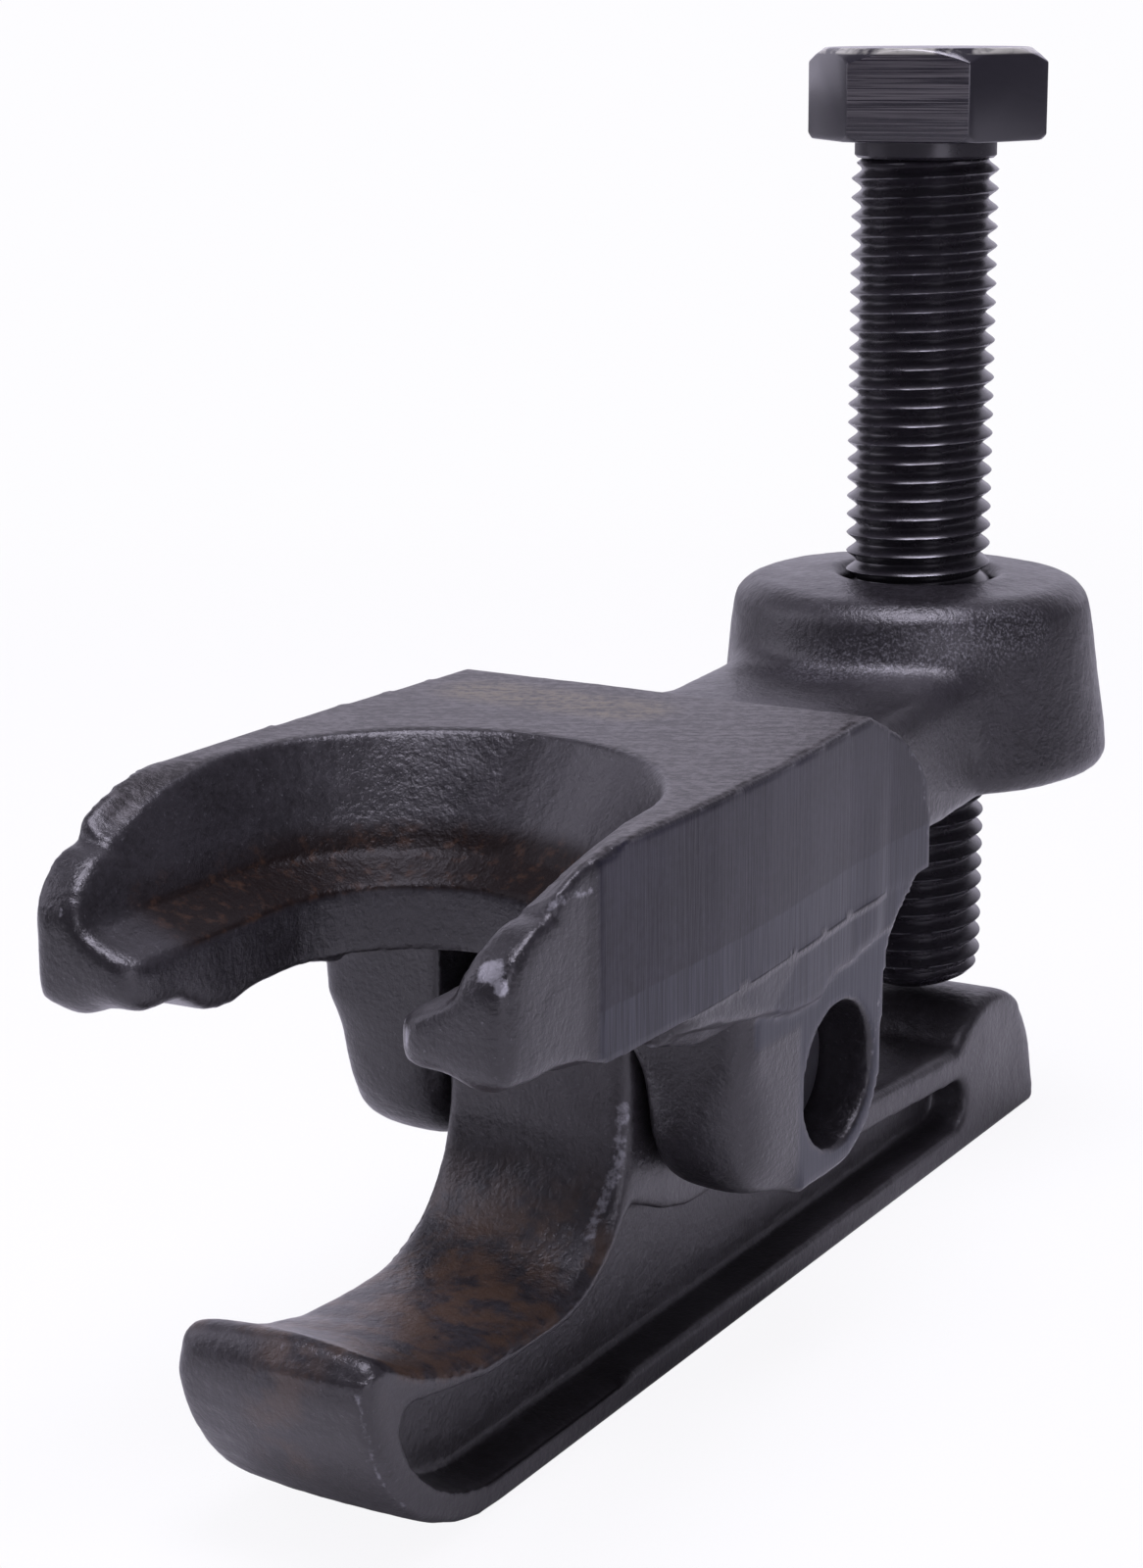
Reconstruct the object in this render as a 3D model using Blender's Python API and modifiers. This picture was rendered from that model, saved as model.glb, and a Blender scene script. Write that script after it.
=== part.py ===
# Ball joint puller: a forked upper forging, a lever arm on a cross pin and a forcing screw.
# Metres, +Z up. The spindle's axis is X = Y = 0, the lever's flat underside is Z = 0, and the fork's
# mouth opens towards -Y.

import math

import bmesh
import bpy
from mathutils import Matrix, Vector

# Clearances
GAP = 0.0003            # between pieces that touch or run on each other
SLOT_CLEARANCE = 0.00035  # from the lever's side to the ear's inner face

# Forcing screw
THREAD_RADIUS = 0.0079
COLLAR_RADIUS = 0.00755
COLLAR_LENGTH = 0.0019
HEAD_ACROSS_FLATS = 0.0222
HEAD_HEIGHT = 0.0095
HEAD_CHAMFER_ANGLE = 37     # degrees below the head's flat top
HEAD_TOP_INSET = 0.0003    # from the flats to the chamfer, on the top
HEAD_FOOT_EDGE = 0.0006    # broken corners of the head's underside
HEAD_TURN = 14.5           # degrees from +X to the nearest corner, as the screw happened to stop
SCREW_LENGTH = 0.0936      # from the nose to the underside of the head
NOSE_DOME_RADIUS = 0.012   # the drop from pin to pad, which keeps screw feed and lever swing in step
NOSE_FLAT_RADIUS = 0.0066
NOSE_CHAMFER_LENGTH = 0.0013

# Cross pin
PIN_Y = -0.0625
PIN_Z = 0.0282
PIN_RADIUS = 0.0066
PIN_RECESS = 0.0050        # the pin's ends lie this deep in the ears
PIN_CHAMFER = 0.0006

# Lever
LEVER_HALF_WIDTH = 0.00985
LEVER_EDGE = 0.0011        # rounding of the forged edges
FOOT_CUT = 0.0006          # ground off the underside, through that rounding
LEVER_REAR_Y = 0.0145
LEVER_CORNER_RADIUS = 0.0015
PAD_CROWN_RADIUS = 0.013
PAD_CENTRE_Y = 0.0015
PAD_TOP_Z = 0.0161
FLANGE_REAR = (-0.0095, 0.0123)   # (Y, Z) where the pad meets the top flange
FLANGE_FRONT_Z = 0.0142    # the top flange's height where it turns up to the hub
HUB_RADIUS = 0.0122
HUB_BLEND = 0.0120         # hollow between the top flange and the hub
JAW_WALL_Y = -0.0804
JAW_WALL_TOP_Z = 0.0345
JAW_FLOOR_Z = 0.0140
JAW_FILLET = 0.0130
JAW_SWEEP_RADIUS = 0.0365  # the floor's rise to the toe
JAW_SWEEP_Y = -0.0995
TOE_BOW_RADIUS = 0.0198    # the toe's front, drawn up from the flat underside
TOE_BOW_Y = -0.1024
TOE_LIP_RADIUS = 0.0022
WEB_DEPTH = 0.0046
WEB_DRAFT = 0.0016
WEB_HUB_CENTRE = (-0.0660, 0.0400)  # (Y, Z) of the wide arc in which the hub's rim hangs down
WEB_HUB_RADIUS = 0.0248
WEB_HUB_FRONT = (-0.0799, 0.0191)  # (Y, Z) where the hub's rim runs into the jaw's rim
JAW_RIM = 0.0022           # wall between the jaw's floor and the web
BOTTOM_FLANGE = 0.0028
TOP_FLANGE = 0.0036
WEB_REAR_Y = -0.0054
WEB_CORNER_RADIUS = 0.0029
WEB_TOE_Y = -0.1172
WEB_TOE_TOP_Z = 0.0143
WEB_TOE_RADIUS = 0.0019
WEB_TOE_RUN_Y = -0.1060    # ahead of this the pocket's top edge runs straight to its front corner

# Fork
FORK_TOP_Z = 0.0610
PLATE_EDGE = 0.0010
MOUTH_TOP_HALF_WIDTH = 0.0206
PRONG_TOP_WALL = 0.00355   # from the mouth's top edge to the plate's side
FORK_REAR_INSET = 0.00225  # the plate draws in by this much at its rear
FORK_TIP_INSET = 0.0008    # and by this much at its tips
FORK_REAR_Y = -0.0573      # rear edge of the flat top
FORK_HEEL_Y = -0.0433      # rearmost point of the plate's side
FORK_WIDEST_Y = -0.0930
FORK_TIP_Y = -0.1216
TIP_CORNER_RADIUS = 0.0018
TIP_ROUND = 0.0072         # seen from the side, between the tip's top and its front
TIP_TOP_Z = 0.0571
TIP_STEP_LENGTH = 0.0003   # the ground top ends in a small step down to the forged tip
TIP_STEP_TOP_Z = 0.0586
TIP_BOTTOM_Z = 0.0457
TIP_BOTTOM_LENGTH = 0.0070
TIP_BOTTOM_RAMP = 0.0060
PRONG_BOTTOM_Z = 0.0434
PRONG_SLOPE_Y = -0.1040    # from here the prongs fall towards their tips
MOUTH_TOP_CENTRE_Y = -0.0985
LEDGE_Z = 0.0514
LEDGE_HALF_WIDTH = 0.0176
LEDGE_CENTRE_Y = -0.1025
LIP_TOP_Z = 0.0492
LIP_HALF_WIDTH = 0.0124
LIP_CENTRE_Y = -0.1008
MOUTH_TOP_FLARE = 0.0006   # rounding of the prongs' inner front corners, level by level
LEDGE_FLARE = 0.0014
LIP_FLARE = 0.0025
RAIL_FRONT_BOTTOM_Z = 0.0403
RAIL_REAR_BOTTOM_Z = 0.0384
RAIL_RAMP = 0.0075         # the length in which it gets its full depth
RAIL_RIGHT_FRONT_Y = -0.0955
RAIL_LEFT_FRONT_Y = -0.0910
RAIL_WIDTH = 0.0040        # measured in from the plate's side

# Ears
EAR_OUTER_X = 0.0218
EAR_FRONT_Y = -0.0808
EAR_FRONT_RADIUS = 0.0024  # outer front corner, seen from above
EAR_LOWER_RADIUS = 0.0090  # lower front corner, seen from the side
EAR_EDGE = 0.0010
EAR_WALL = 0.0026          # round the pin's hole
EAR_REAR = ((-0.0530, 0.0347), (-0.0520, 0.0383), (-0.0495, 0.0406), (-0.0457, 0.0432))

# Neck and boss
NECK_HALF_WIDTH = 0.0140
NECK_TOP_Z = 0.0559
NECK_BOTTOM_Z = 0.0418
NECK_EDGE = 0.0032
BOSS_TOP_Z = 0.0633
BOSS_BOTTOM_Z = 0.0430
BOSS_TOP_RADIUS = 0.0198
BOSS_BOTTOM_RADIUS = 0.0213
BOSS_EDGE = 0.0042
BOSS_LOWER_EDGE = 0.0020
BOSS_COUNTERSINK = 0.0010

# Fineness of round shapes
TURNS = 48
ARC_STEP = math.radians(9)

# Places worked out from the sizes above
SCREW_TIP_Z = PAD_TOP_Z + GAP
HEAD_BOTTOM_Z = SCREW_TIP_Z + SCREW_LENGTH
BORE_RADIUS = THREAD_RADIUS + GAP
PIN_HOLE_RADIUS = PIN_RADIUS + GAP
EAR_INNER_X = LEVER_HALF_WIDTH + SLOT_CLEARANCE
EAR_LOWER_ROUND = PIN_HOLE_RADIUS + EAR_WALL - GAP
FORK_HALF_WIDTH = MOUTH_TOP_HALF_WIDTH + PRONG_TOP_WALL
FORK_REAR_HALF_WIDTH = FORK_HALF_WIDTH - FORK_REAR_INSET
FORK_TIP_HALF_WIDTH = FORK_HALF_WIDTH - FORK_TIP_INSET


def clear_scene():
    for obj in list(bpy.data.objects):
        bpy.data.objects.remove(obj, do_unlink=True)


def new_collection(name, hidden=False):
    collection = bpy.data.collections.new(name)
    collection.hide_render = hidden
    bpy.context.scene.collection.children.link(collection)
    return collection


def steel(name, colour, roughness, metallic):
    material = bpy.data.materials.new(name)
    material.use_nodes = True
    shader = material.node_tree.nodes["Principled BSDF"]
    shader.inputs["Base Color"].default_value = (*colour, 1.0)
    shader.inputs["Roughness"].default_value = roughness
    shader.inputs["Metallic"].default_value = metallic
    return material


def arc(centre, radius, start, end):
    """Points of an arc from the start angle to the end angle, in degrees."""
    first, last = math.radians(start), math.radians(end)
    steps = max(2, round(abs(last - first) / ARC_STEP))
    angles = [first + (last - first) * i / steps for i in range(steps + 1)]
    return [(centre[0] + radius * math.cos(a), centre[1] + radius * math.sin(a)) for a in angles]


def link_mesh(name, mesh, collection):
    obj = bpy.data.objects.new(name, mesh)
    collection.objects.link(obj)
    return obj


def prism(name, outline, low, high, axis, collection):
    """A closed outline extruded between two places on an axis. Outlines are (X, Y) for Z, (Y, Z) for X."""
    curve = bpy.data.curves.new(name + "_outline", "CURVE")
    curve.dimensions = "2D"
    curve.fill_mode = "BOTH"
    curve.extrude = (high - low) / 2
    spline = curve.splines.new("POLY")
    spline.points.add(len(outline) - 1)
    for point, (u, v) in zip(spline.points, outline):
        point.co = (u, v, 0.0, 1.0)
    spline.use_cyclic_u = True
    drawn = bpy.data.objects.new(name + "_curve", curve)
    collection.objects.link(drawn)
    bpy.context.view_layer.update()
    graph = bpy.context.evaluated_depsgraph_get()
    mesh = bpy.data.meshes.new_from_object(drawn.evaluated_get(graph))
    bpy.data.objects.remove(drawn, do_unlink=True)
    middle = Matrix.Translation((0.0, 0.0, (low + high) / 2))
    turn = Matrix(((0, 0, 1, 0), (1, 0, 0, 0), (0, 1, 0, 0), (0, 0, 0, 1))) if axis == "X" else Matrix()
    mesh.transform(turn @ middle)
    tidy(mesh)
    return link_mesh(name, mesh, collection)


def tidy(mesh):
    """Welds the loose caps and turns every face outwards."""
    shape = bmesh.new()
    shape.from_mesh(mesh)
    bmesh.ops.remove_doubles(shape, verts=shape.verts, dist=0.000001)
    bmesh.ops.recalc_face_normals(shape, faces=shape.faces)
    shape.to_mesh(mesh)
    shape.free()


def turned(name, profile, collection, steps=TURNS):
    """A profile of (radius, Z), from the top down its outer side, turned about Z."""
    mesh = bpy.data.meshes.new(name)
    edges = [(i, i + 1) for i in range(len(profile) - 1)]
    mesh.from_pydata([(r, 0.0, z) for r, z in profile], edges, [])
    obj = link_mesh(name, mesh, collection)
    screw = obj.modifiers.new("Turn", "SCREW")
    screw.axis = "Z"
    screw.steps = steps
    screw.render_steps = steps
    screw.use_merge_vertices = True
    screw.merge_threshold = 0.00001
    screw.use_normal_calculate = True
    return applied(obj)


def applied(obj):
    """Replaces the object's mesh by its evaluated one, so that later cuts see a plain mesh."""
    bpy.context.view_layer.update()
    graph = bpy.context.evaluated_depsgraph_get()
    mesh = bpy.data.meshes.new_from_object(obj.evaluated_get(graph))
    obj.modifiers.clear()
    obj.data = mesh
    tidy(mesh)
    return obj


def cylinder_along_x(name, centre, radius, half_length, collection, sides=TURNS):
    mesh = bpy.data.meshes.new(name)
    shape = bmesh.new()
    place = Matrix.Translation((0.0, *centre)) @ Matrix.Rotation(math.pi / 2, 4, "Y")
    bmesh.ops.create_cone(shape, cap_ends=True, segments=sides, radius1=radius, radius2=radius,
                          depth=2 * half_length, matrix=place)
    shape.to_mesh(mesh)
    shape.free()
    return link_mesh(name, mesh, collection)


def boolean(obj, other, operation):
    modifier = obj.modifiers.new(operation.title() + " " + other.name, "BOOLEAN")
    modifier.operation = operation
    modifier.object = other
    modifier.solver = "EXACT"


def bevelled(obj, width, segments, angle=32):
    """Rounds the sharp edges, after joining the triangles of each flat face."""
    shape = bmesh.new()
    shape.from_mesh(obj.data)
    bmesh.ops.dissolve_limit(shape, angle_limit=math.radians(1), verts=shape.verts, edges=shape.edges)
    shape.to_mesh(obj.data)
    shape.free()
    modifier = obj.modifiers.new("Rounded edges", "BEVEL")
    modifier.width = width
    modifier.segments = segments
    modifier.limit_method = "ANGLE"
    modifier.angle_limit = math.radians(angle)
    modifier.use_clamp_overlap = True
    return applied(obj)


def hide_cutters(collection):
    for obj in collection.objects:
        obj.hide_render = True
        obj.display_type = "WIRE"


def finish(obj, material, origin):
    """Gives a piece its material, smooth round faces and its origin on its joint's axis."""
    obj.data.materials.clear()
    obj.data.materials.append(material)
    obj.data.transform(Matrix.Translation(-Vector(origin)))
    obj.location = origin
    obj.data.shade_smooth()
    obj.data.set_sharp_from_angle(angle=math.radians(35))


def pad_outline():
    """The crowned pad and the rear end, from the underside's rear corner round to the top flange."""
    centre = (PAD_CENTRE_Y, PAD_TOP_Z - PAD_CROWN_RADIUS)
    reach = FLANGE_REAR[1] - centre[1]
    meet = 180 - math.degrees(math.asin(reach / PAD_CROWN_RADIUS))
    corner = (LEVER_REAR_Y - LEVER_CORNER_RADIUS, LEVER_CORNER_RADIUS - FOOT_CUT)
    return arc(corner, LEVER_CORNER_RADIUS, -90, 0) + arc(centre, PAD_CROWN_RADIUS, 0, meet)


def hub_outline():
    """Up from the flange through a hollow, over the hub and down the jaw's wall."""
    hollow_centre = hub_hollow_centre()
    meet = math.degrees(math.atan2(hollow_centre[1] - PIN_Z, hollow_centre[0] - PIN_Y))
    hollow = arc(hollow_centre, HUB_BLEND, 270, 180 + meet)
    crest = hollow + arc((PIN_Y, PIN_Z), HUB_RADIUS, meet, 104)[1:]
    wall_top = (JAW_WALL_Y, JAW_WALL_TOP_Z)
    return crest + [(JAW_WALL_Y + 0.0035, JAW_WALL_TOP_Z + 0.0022), wall_top]


def sweep_end():
    """Angle on the jaw's sweep at which it reaches the toe's lip."""
    reach = (TOE_BOW_Y - TOE_BOW_RADIUS + 1.2 * TOE_LIP_RADIUS) - JAW_SWEEP_Y
    return 270 + math.degrees(math.asin(reach / JAW_SWEEP_RADIUS))


def hub_hollow_centre():
    """Centre of the hollow that touches both the top flange and the hub."""
    z = FLANGE_FRONT_Z + HUB_BLEND
    return (PIN_Y + math.sqrt((HUB_RADIUS + HUB_BLEND) ** 2 - (z - PIN_Z) ** 2), z)


def jaw_outline(offset=0.0):
    """The jaw from its wall to the toe, moved into the metal by the offset."""
    floor = JAW_FLOOR_Z - offset
    wall = arc((JAW_WALL_Y - JAW_FILLET, JAW_FLOOR_Z + JAW_FILLET), JAW_FILLET + offset, 0, -90)
    sweep = arc((JAW_SWEEP_Y, floor + JAW_SWEEP_RADIUS + offset), JAW_SWEEP_RADIUS + offset,
                270, sweep_end())
    return wall + sweep


def lever_outline():
    sweep = jaw_outline()
    lip_centre = (TOE_BOW_Y - TOE_BOW_RADIUS + 1.2 * TOE_LIP_RADIUS, sweep[-1][1] - TOE_LIP_RADIUS)
    lip = arc(lip_centre, TOE_LIP_RADIUS, 110, 185)
    bow_z = TOE_BOW_RADIUS - FOOT_CUT
    bow_start = 180 + math.degrees(math.asin((bow_z - lip[-1][1]) / TOE_BOW_RADIUS)) + 4
    bow = arc((TOE_BOW_Y, bow_z), TOE_BOW_RADIUS, bow_start, 270)
    return pad_outline() + [FLANGE_REAR] + hub_outline() + sweep + lip + bow


def web_outline():
    """The pocket in the lever's side, inside the jaw's rim, the hub's rim and both flanges."""
    rear_centre = (WEB_REAR_Y - WEB_CORNER_RADIUS, BOTTOM_FLANGE + WEB_CORNER_RADIUS)
    rear = arc(rear_centre, WEB_CORNER_RADIUS, -90, 80)
    flange = [(hub_hollow_centre()[0], FLANGE_FRONT_Z - TOP_FLANGE)]
    hub = arc(WEB_HUB_CENTRE, WEB_HUB_RADIUS, -72, -118)
    jaw = [p for p in jaw_outline(JAW_RIM) if WEB_TOE_RUN_Y < p[0] and p[1] < WEB_HUB_FRONT[1]]
    toe = arc((WEB_TOE_Y + WEB_TOE_RADIUS, WEB_TOE_TOP_Z - WEB_TOE_RADIUS), WEB_TOE_RADIUS, 105, 190)
    keel = arc((TOE_BOW_Y, TOE_BOW_RADIUS), TOE_BOW_RADIUS - BOTTOM_FLANGE, 218, 270)
    return rear + flange + hub + [WEB_HUB_FRONT] + jaw + toe + keel


def web_cutter(side, collection):
    """The pocket's outline pushed in from one side, narrower at its floor."""
    outer = LEVER_HALF_WIDTH + 0.001
    floor = LEVER_HALF_WIDTH - WEB_DEPTH
    low, high = (floor, outer) if side > 0 else (-outer, -floor)
    cutter = prism("web_cutter_" + ("right" if side > 0 else "left"), web_outline(), low, high, "X", collection)
    shape = bmesh.new()
    shape.from_mesh(cutter.data)
    inner = [e for e in shape.edges if all(abs(v.co.x - side * floor) < 1e-6 for v in e.verts)]
    rim = [e for e in inner if any(abs(f.normal.x) < 0.5 for f in e.link_faces)]
    bmesh.ops.bevel(shape, geom=rim, offset=WEB_DRAFT, segments=2, profile=0.5, affect="EDGES",
                    clamp_overlap=True)
    bmesh.ops.recalc_face_normals(shape, faces=shape.faces)
    shape.to_mesh(cutter.data)
    shape.free()
    return cutter


def grind_foot(lever):
    """Cuts the lever off flat at Z = 0."""
    shape = bmesh.new()
    shape.from_mesh(lever.data)
    everything = list(shape.verts) + list(shape.edges) + list(shape.faces)
    cut = bmesh.ops.bisect_plane(shape, geom=everything, dist=0.0000001, plane_co=(0.0, 0.0, 0.0),
                                 plane_no=(0.0, 0.0, -1.0), clear_outer=True)
    rim = [e for e in cut["geom_cut"] if isinstance(e, bmesh.types.BMEdge)]
    bmesh.ops.contextual_create(shape, geom=rim)
    bmesh.ops.recalc_face_normals(shape, faces=shape.faces)
    shape.to_mesh(lever.data)
    shape.free()


def make_lever(parts, cutters):
    lever = prism("lever", lever_outline(), -LEVER_HALF_WIDTH, LEVER_HALF_WIDTH, "X", parts)
    bevelled(lever, LEVER_EDGE, 2, angle=60)
    grind_foot(lever)
    for side in (1, -1):
        boolean(lever, web_cutter(side, cutters), "DIFFERENCE")
    hole = cylinder_along_x("lever_hole_cutter", (PIN_Y, PIN_Z), PIN_HOLE_RADIUS,
                            2 * LEVER_HALF_WIDTH, cutters)
    boolean(lever, hole, "DIFFERENCE")
    return applied(lever)


def plate_plan():
    """The plate seen from above: drawn in at the rear, widest at the mouth, with rounded tips."""
    tip = arc((FORK_TIP_HALF_WIDTH - TIP_CORNER_RADIUS, FORK_TIP_Y + TIP_CORNER_RADIUS),
              TIP_CORNER_RADIUS, -90, -8)
    side = []
    for i in range(9):
        y = FORK_TIP_Y + 2 * TIP_CORNER_RADIUS + (FORK_HEEL_Y - FORK_TIP_Y - 2 * TIP_CORNER_RADIUS) * i / 8
        side.append((side_half_width(y), y))
    past_heel = FORK_HEEL_Y + 0.001
    right = [(0.0, FORK_TIP_Y)] + tip + side + [(side[-1][0], past_heel), (0.0, past_heel)]
    left = [(-x, y) for x, y in reversed(right[1:-1])]
    return right + left


def side_half_width(y):
    """Half the plate's width at a place along it, a smooth bulge between tip and rear."""
    if y > FORK_WIDEST_Y:
        share = min(1.0, (y - FORK_WIDEST_Y) / (FORK_REAR_Y - FORK_WIDEST_Y))
        return FORK_HALF_WIDTH - (FORK_HALF_WIDTH - FORK_REAR_HALF_WIDTH) * share ** 1.7
    share = (FORK_WIDEST_Y - y) / (FORK_WIDEST_Y - FORK_TIP_Y)
    return FORK_HALF_WIDTH - (FORK_HALF_WIDTH - FORK_TIP_HALF_WIDTH) * share ** 2.0


def plate_side():
    """The plate seen from its side: falling prongs, flat top, sloping heel."""
    past_tip = FORK_TIP_Y - 0.0003
    step_y = past_tip + TIP_ROUND + TIP_STEP_LENGTH
    drop, run = FORK_TOP_Z - TIP_STEP_TOP_Z, PRONG_SLOPE_Y - step_y
    fall = [(PRONG_SLOPE_Y - run * i / 6, FORK_TOP_Z - drop * (i / 6) ** 2) for i in range(7)]
    front = arc((past_tip + TIP_ROUND, TIP_TOP_Z - TIP_ROUND), TIP_ROUND, 90, 180)
    heel = [(FORK_HEEL_Y - 0.0003, 0.0518), (FORK_HEEL_Y - 0.0025, 0.0546), (FORK_HEEL_Y - 0.0070, 0.0580)]
    bottom = [(past_tip, TIP_BOTTOM_Z + 0.0010), (past_tip + 0.0010, TIP_BOTTOM_Z),
              (FORK_TIP_Y + TIP_BOTTOM_LENGTH, TIP_BOTTOM_Z),
              (FORK_TIP_Y + TIP_BOTTOM_LENGTH + TIP_BOTTOM_RAMP, PRONG_BOTTOM_Z),
              (FORK_HEEL_Y, PRONG_BOTTOM_Z)]
    return heel + [(FORK_REAR_Y, FORK_TOP_Z)] + fall + front + bottom


def mouth_ring(half_width, centre_y, flare, z):
    """One U-shaped level of the mouth, from the right tip round the back to the left tip."""
    ahead = FORK_TIP_Y - 0.006
    corner = arc((half_width + flare, FORK_TIP_Y + flare), flare, 270, 180)
    right = [(half_width + flare, ahead)] + corner
    left = [(-x, y) for x, y in reversed(right)]
    return [(x, y, z) for x, y in right + arc((0.0, centre_y), half_width, 0, 180) + left]


def mouth_cutter(collection):
    """The mouth is lofted through its levels: top edge, ledge, lip and underside."""
    slope = (MOUTH_TOP_HALF_WIDTH - LEDGE_HALF_WIDTH) / (FORK_TOP_Z - LEDGE_Z)
    above = 0.002
    top_half = MOUTH_TOP_HALF_WIDTH + slope * above
    rings = [
        mouth_ring(top_half, MOUTH_TOP_CENTRE_Y + above * 0.4, MOUTH_TOP_FLARE, FORK_TOP_Z + above),
        mouth_ring(LEDGE_HALF_WIDTH, LEDGE_CENTRE_Y, LEDGE_FLARE, LEDGE_Z),
        mouth_ring(LIP_HALF_WIDTH, LIP_CENTRE_Y, LIP_FLARE, LIP_TOP_Z),
        mouth_ring(LIP_HALF_WIDTH, LIP_CENTRE_Y, LIP_FLARE, RAIL_REAR_BOTTOM_Z - 0.004),
    ]
    shape = bmesh.new()
    levels = [[shape.verts.new(p) for p in ring] for ring in rings]
    count = len(rings[0])
    for upper, lower in zip(levels, levels[1:]):
        for i in range(count):
            j = (i + 1) % count
            shape.faces.new((upper[i], upper[j], lower[j], lower[i]))
    shape.faces.new(levels[0])
    shape.faces.new(list(reversed(levels[-1])))
    bmesh.ops.recalc_face_normals(shape, faces=shape.faces)
    mesh = bpy.data.meshes.new("mouth_cutter")
    shape.to_mesh(mesh)
    shape.free()
    return link_mesh("mouth_cutter", mesh, collection)


def ear_side():
    """An ear seen from its side: straight front, round foot and a rear edge that runs up into the heel."""
    foot_z = PIN_Z - EAR_LOWER_ROUND
    front_foot = arc((EAR_FRONT_Y + EAR_LOWER_RADIUS, foot_z + EAR_LOWER_RADIUS), EAR_LOWER_RADIUS, 180, 270)
    rear_foot = arc((PIN_Y, PIN_Z), EAR_LOWER_ROUND, -90, 4)
    top = [(FORK_HEEL_Y - 0.001, PRONG_BOTTOM_Z + 0.002), (EAR_FRONT_Y, PRONG_BOTTOM_Z + 0.002)]
    return front_foot + rear_foot + list(EAR_REAR) + top


def ear_plan(side):
    """An ear seen from above, its outer front corner well rounded."""
    corner = arc((EAR_OUTER_X - EAR_FRONT_RADIUS, EAR_FRONT_Y + EAR_FRONT_RADIUS), EAR_FRONT_RADIUS, -90, 0)
    plan = [(EAR_INNER_X, EAR_FRONT_Y)] + corner + [(EAR_OUTER_X, FORK_HEEL_Y), (EAR_INNER_X, FORK_HEEL_Y)]
    return [(side * x, y) for x, y in plan]


def make_ear(side, cutters):
    word = "right" if side > 0 else "left"
    low = PIN_Z - 2 * EAR_LOWER_ROUND
    ear = prism("ear_" + word, ear_plan(side), low, PRONG_BOTTOM_Z + 0.001, "Z", cutters)
    across = sorted((side * (EAR_INNER_X - 0.001), side * (EAR_OUTER_X + 0.001)))
    boolean(ear, prism("ear_side_" + word, ear_side(), *across, "X", cutters), "INTERSECT")
    applied(ear)
    return bevelled(ear, EAR_EDGE, 2, angle=50)


def make_rail(side, cutters):
    """The deeper strip along the plate's side, above and ahead of an ear, which thins out downwards."""
    front_y = RAIL_RIGHT_FRONT_Y if side > 0 else RAIL_LEFT_FRONT_Y
    ramp_end = front_y + RAIL_RAMP
    places = [front_y] + [ramp_end + (FORK_REAR_Y - ramp_end) * i / 4 for i in range(5)]
    top_z = PRONG_BOTTOM_Z + 0.004
    shape = bmesh.new()
    sections = []
    for y in places:
        outer = side_half_width(y) - 0.0005
        bottom_z = RAIL_REAR_BOTTOM_Z
        if y == front_y:
            bottom_z = RAIL_FRONT_BOTTOM_Z
        corners = ((outer - 2 * RAIL_WIDTH, top_z), (outer, top_z), (outer, PRONG_BOTTOM_Z),
                   (EAR_OUTER_X, bottom_z + 0.001), (EAR_OUTER_X - 0.001, bottom_z), (outer - RAIL_WIDTH, bottom_z),
                   (outer - 2 * RAIL_WIDTH, PRONG_BOTTOM_Z + 0.001))
        sections.append([shape.verts.new((side * x, y, z)) for x, z in corners])
    for one, two in zip(sections, sections[1:]):
        for i in range(len(one)):
            j = (i + 1) % len(one)
            shape.faces.new((one[i], one[j], two[j], two[i]))
    shape.faces.new(sections[0])
    shape.faces.new(reversed(sections[-1]))
    bmesh.ops.recalc_face_normals(shape, faces=shape.faces)
    mesh = bpy.data.meshes.new("rail")
    shape.to_mesh(mesh)
    shape.free()
    return link_mesh("rail_right" if side > 0 else "rail_left", mesh, cutters)


def neck_plan():
    """The neck seen from above, flared where it leaves the plate and where it meets the boss."""
    flare = 0.006
    plate_bend = arc((NECK_HALF_WIDTH + flare, FORK_HEEL_Y + flare), flare, 255, 180)
    inside = FORK_REAR_Y - 0.001
    right = [(0.0, inside), (FORK_REAR_HALF_WIDTH - 0.002, inside)]
    right += [(FORK_REAR_HALF_WIDTH - 0.002, FORK_HEEL_Y - 0.001)] + plate_bend
    right += [(NECK_HALF_WIDTH + 0.0005, -0.012), (NECK_HALF_WIDTH, -0.005), (0.0, -0.005)]
    left = [(-x, y) for x, y in reversed(right[1:-1])]
    return right + left


def neck_side():
    """The neck seen from its side, its back rising a little to the boss."""
    return [(-0.004, NECK_BOTTOM_Z + 0.0015), (-0.004, NECK_TOP_Z + 0.001), (-0.0185, NECK_TOP_Z),
            (FORK_HEEL_Y - 0.004, NECK_TOP_Z - 0.0005), (FORK_REAR_Y, NECK_TOP_Z - 0.0005),
            (FORK_REAR_Y, NECK_BOTTOM_Z + 0.002), (-0.040, NECK_BOTTOM_Z), (-0.022, NECK_BOTTOM_Z)]


def make_neck(cutters):
    neck = prism("neck", neck_plan(), NECK_BOTTOM_Z - 0.002, NECK_TOP_Z + 0.004, "Z", cutters)
    wide = FORK_HALF_WIDTH
    boolean(neck, prism("neck_side", neck_side(), -wide, wide, "X", cutters), "INTERSECT")
    applied(neck)
    return bevelled(neck, NECK_EDGE, 3, angle=50)


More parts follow.
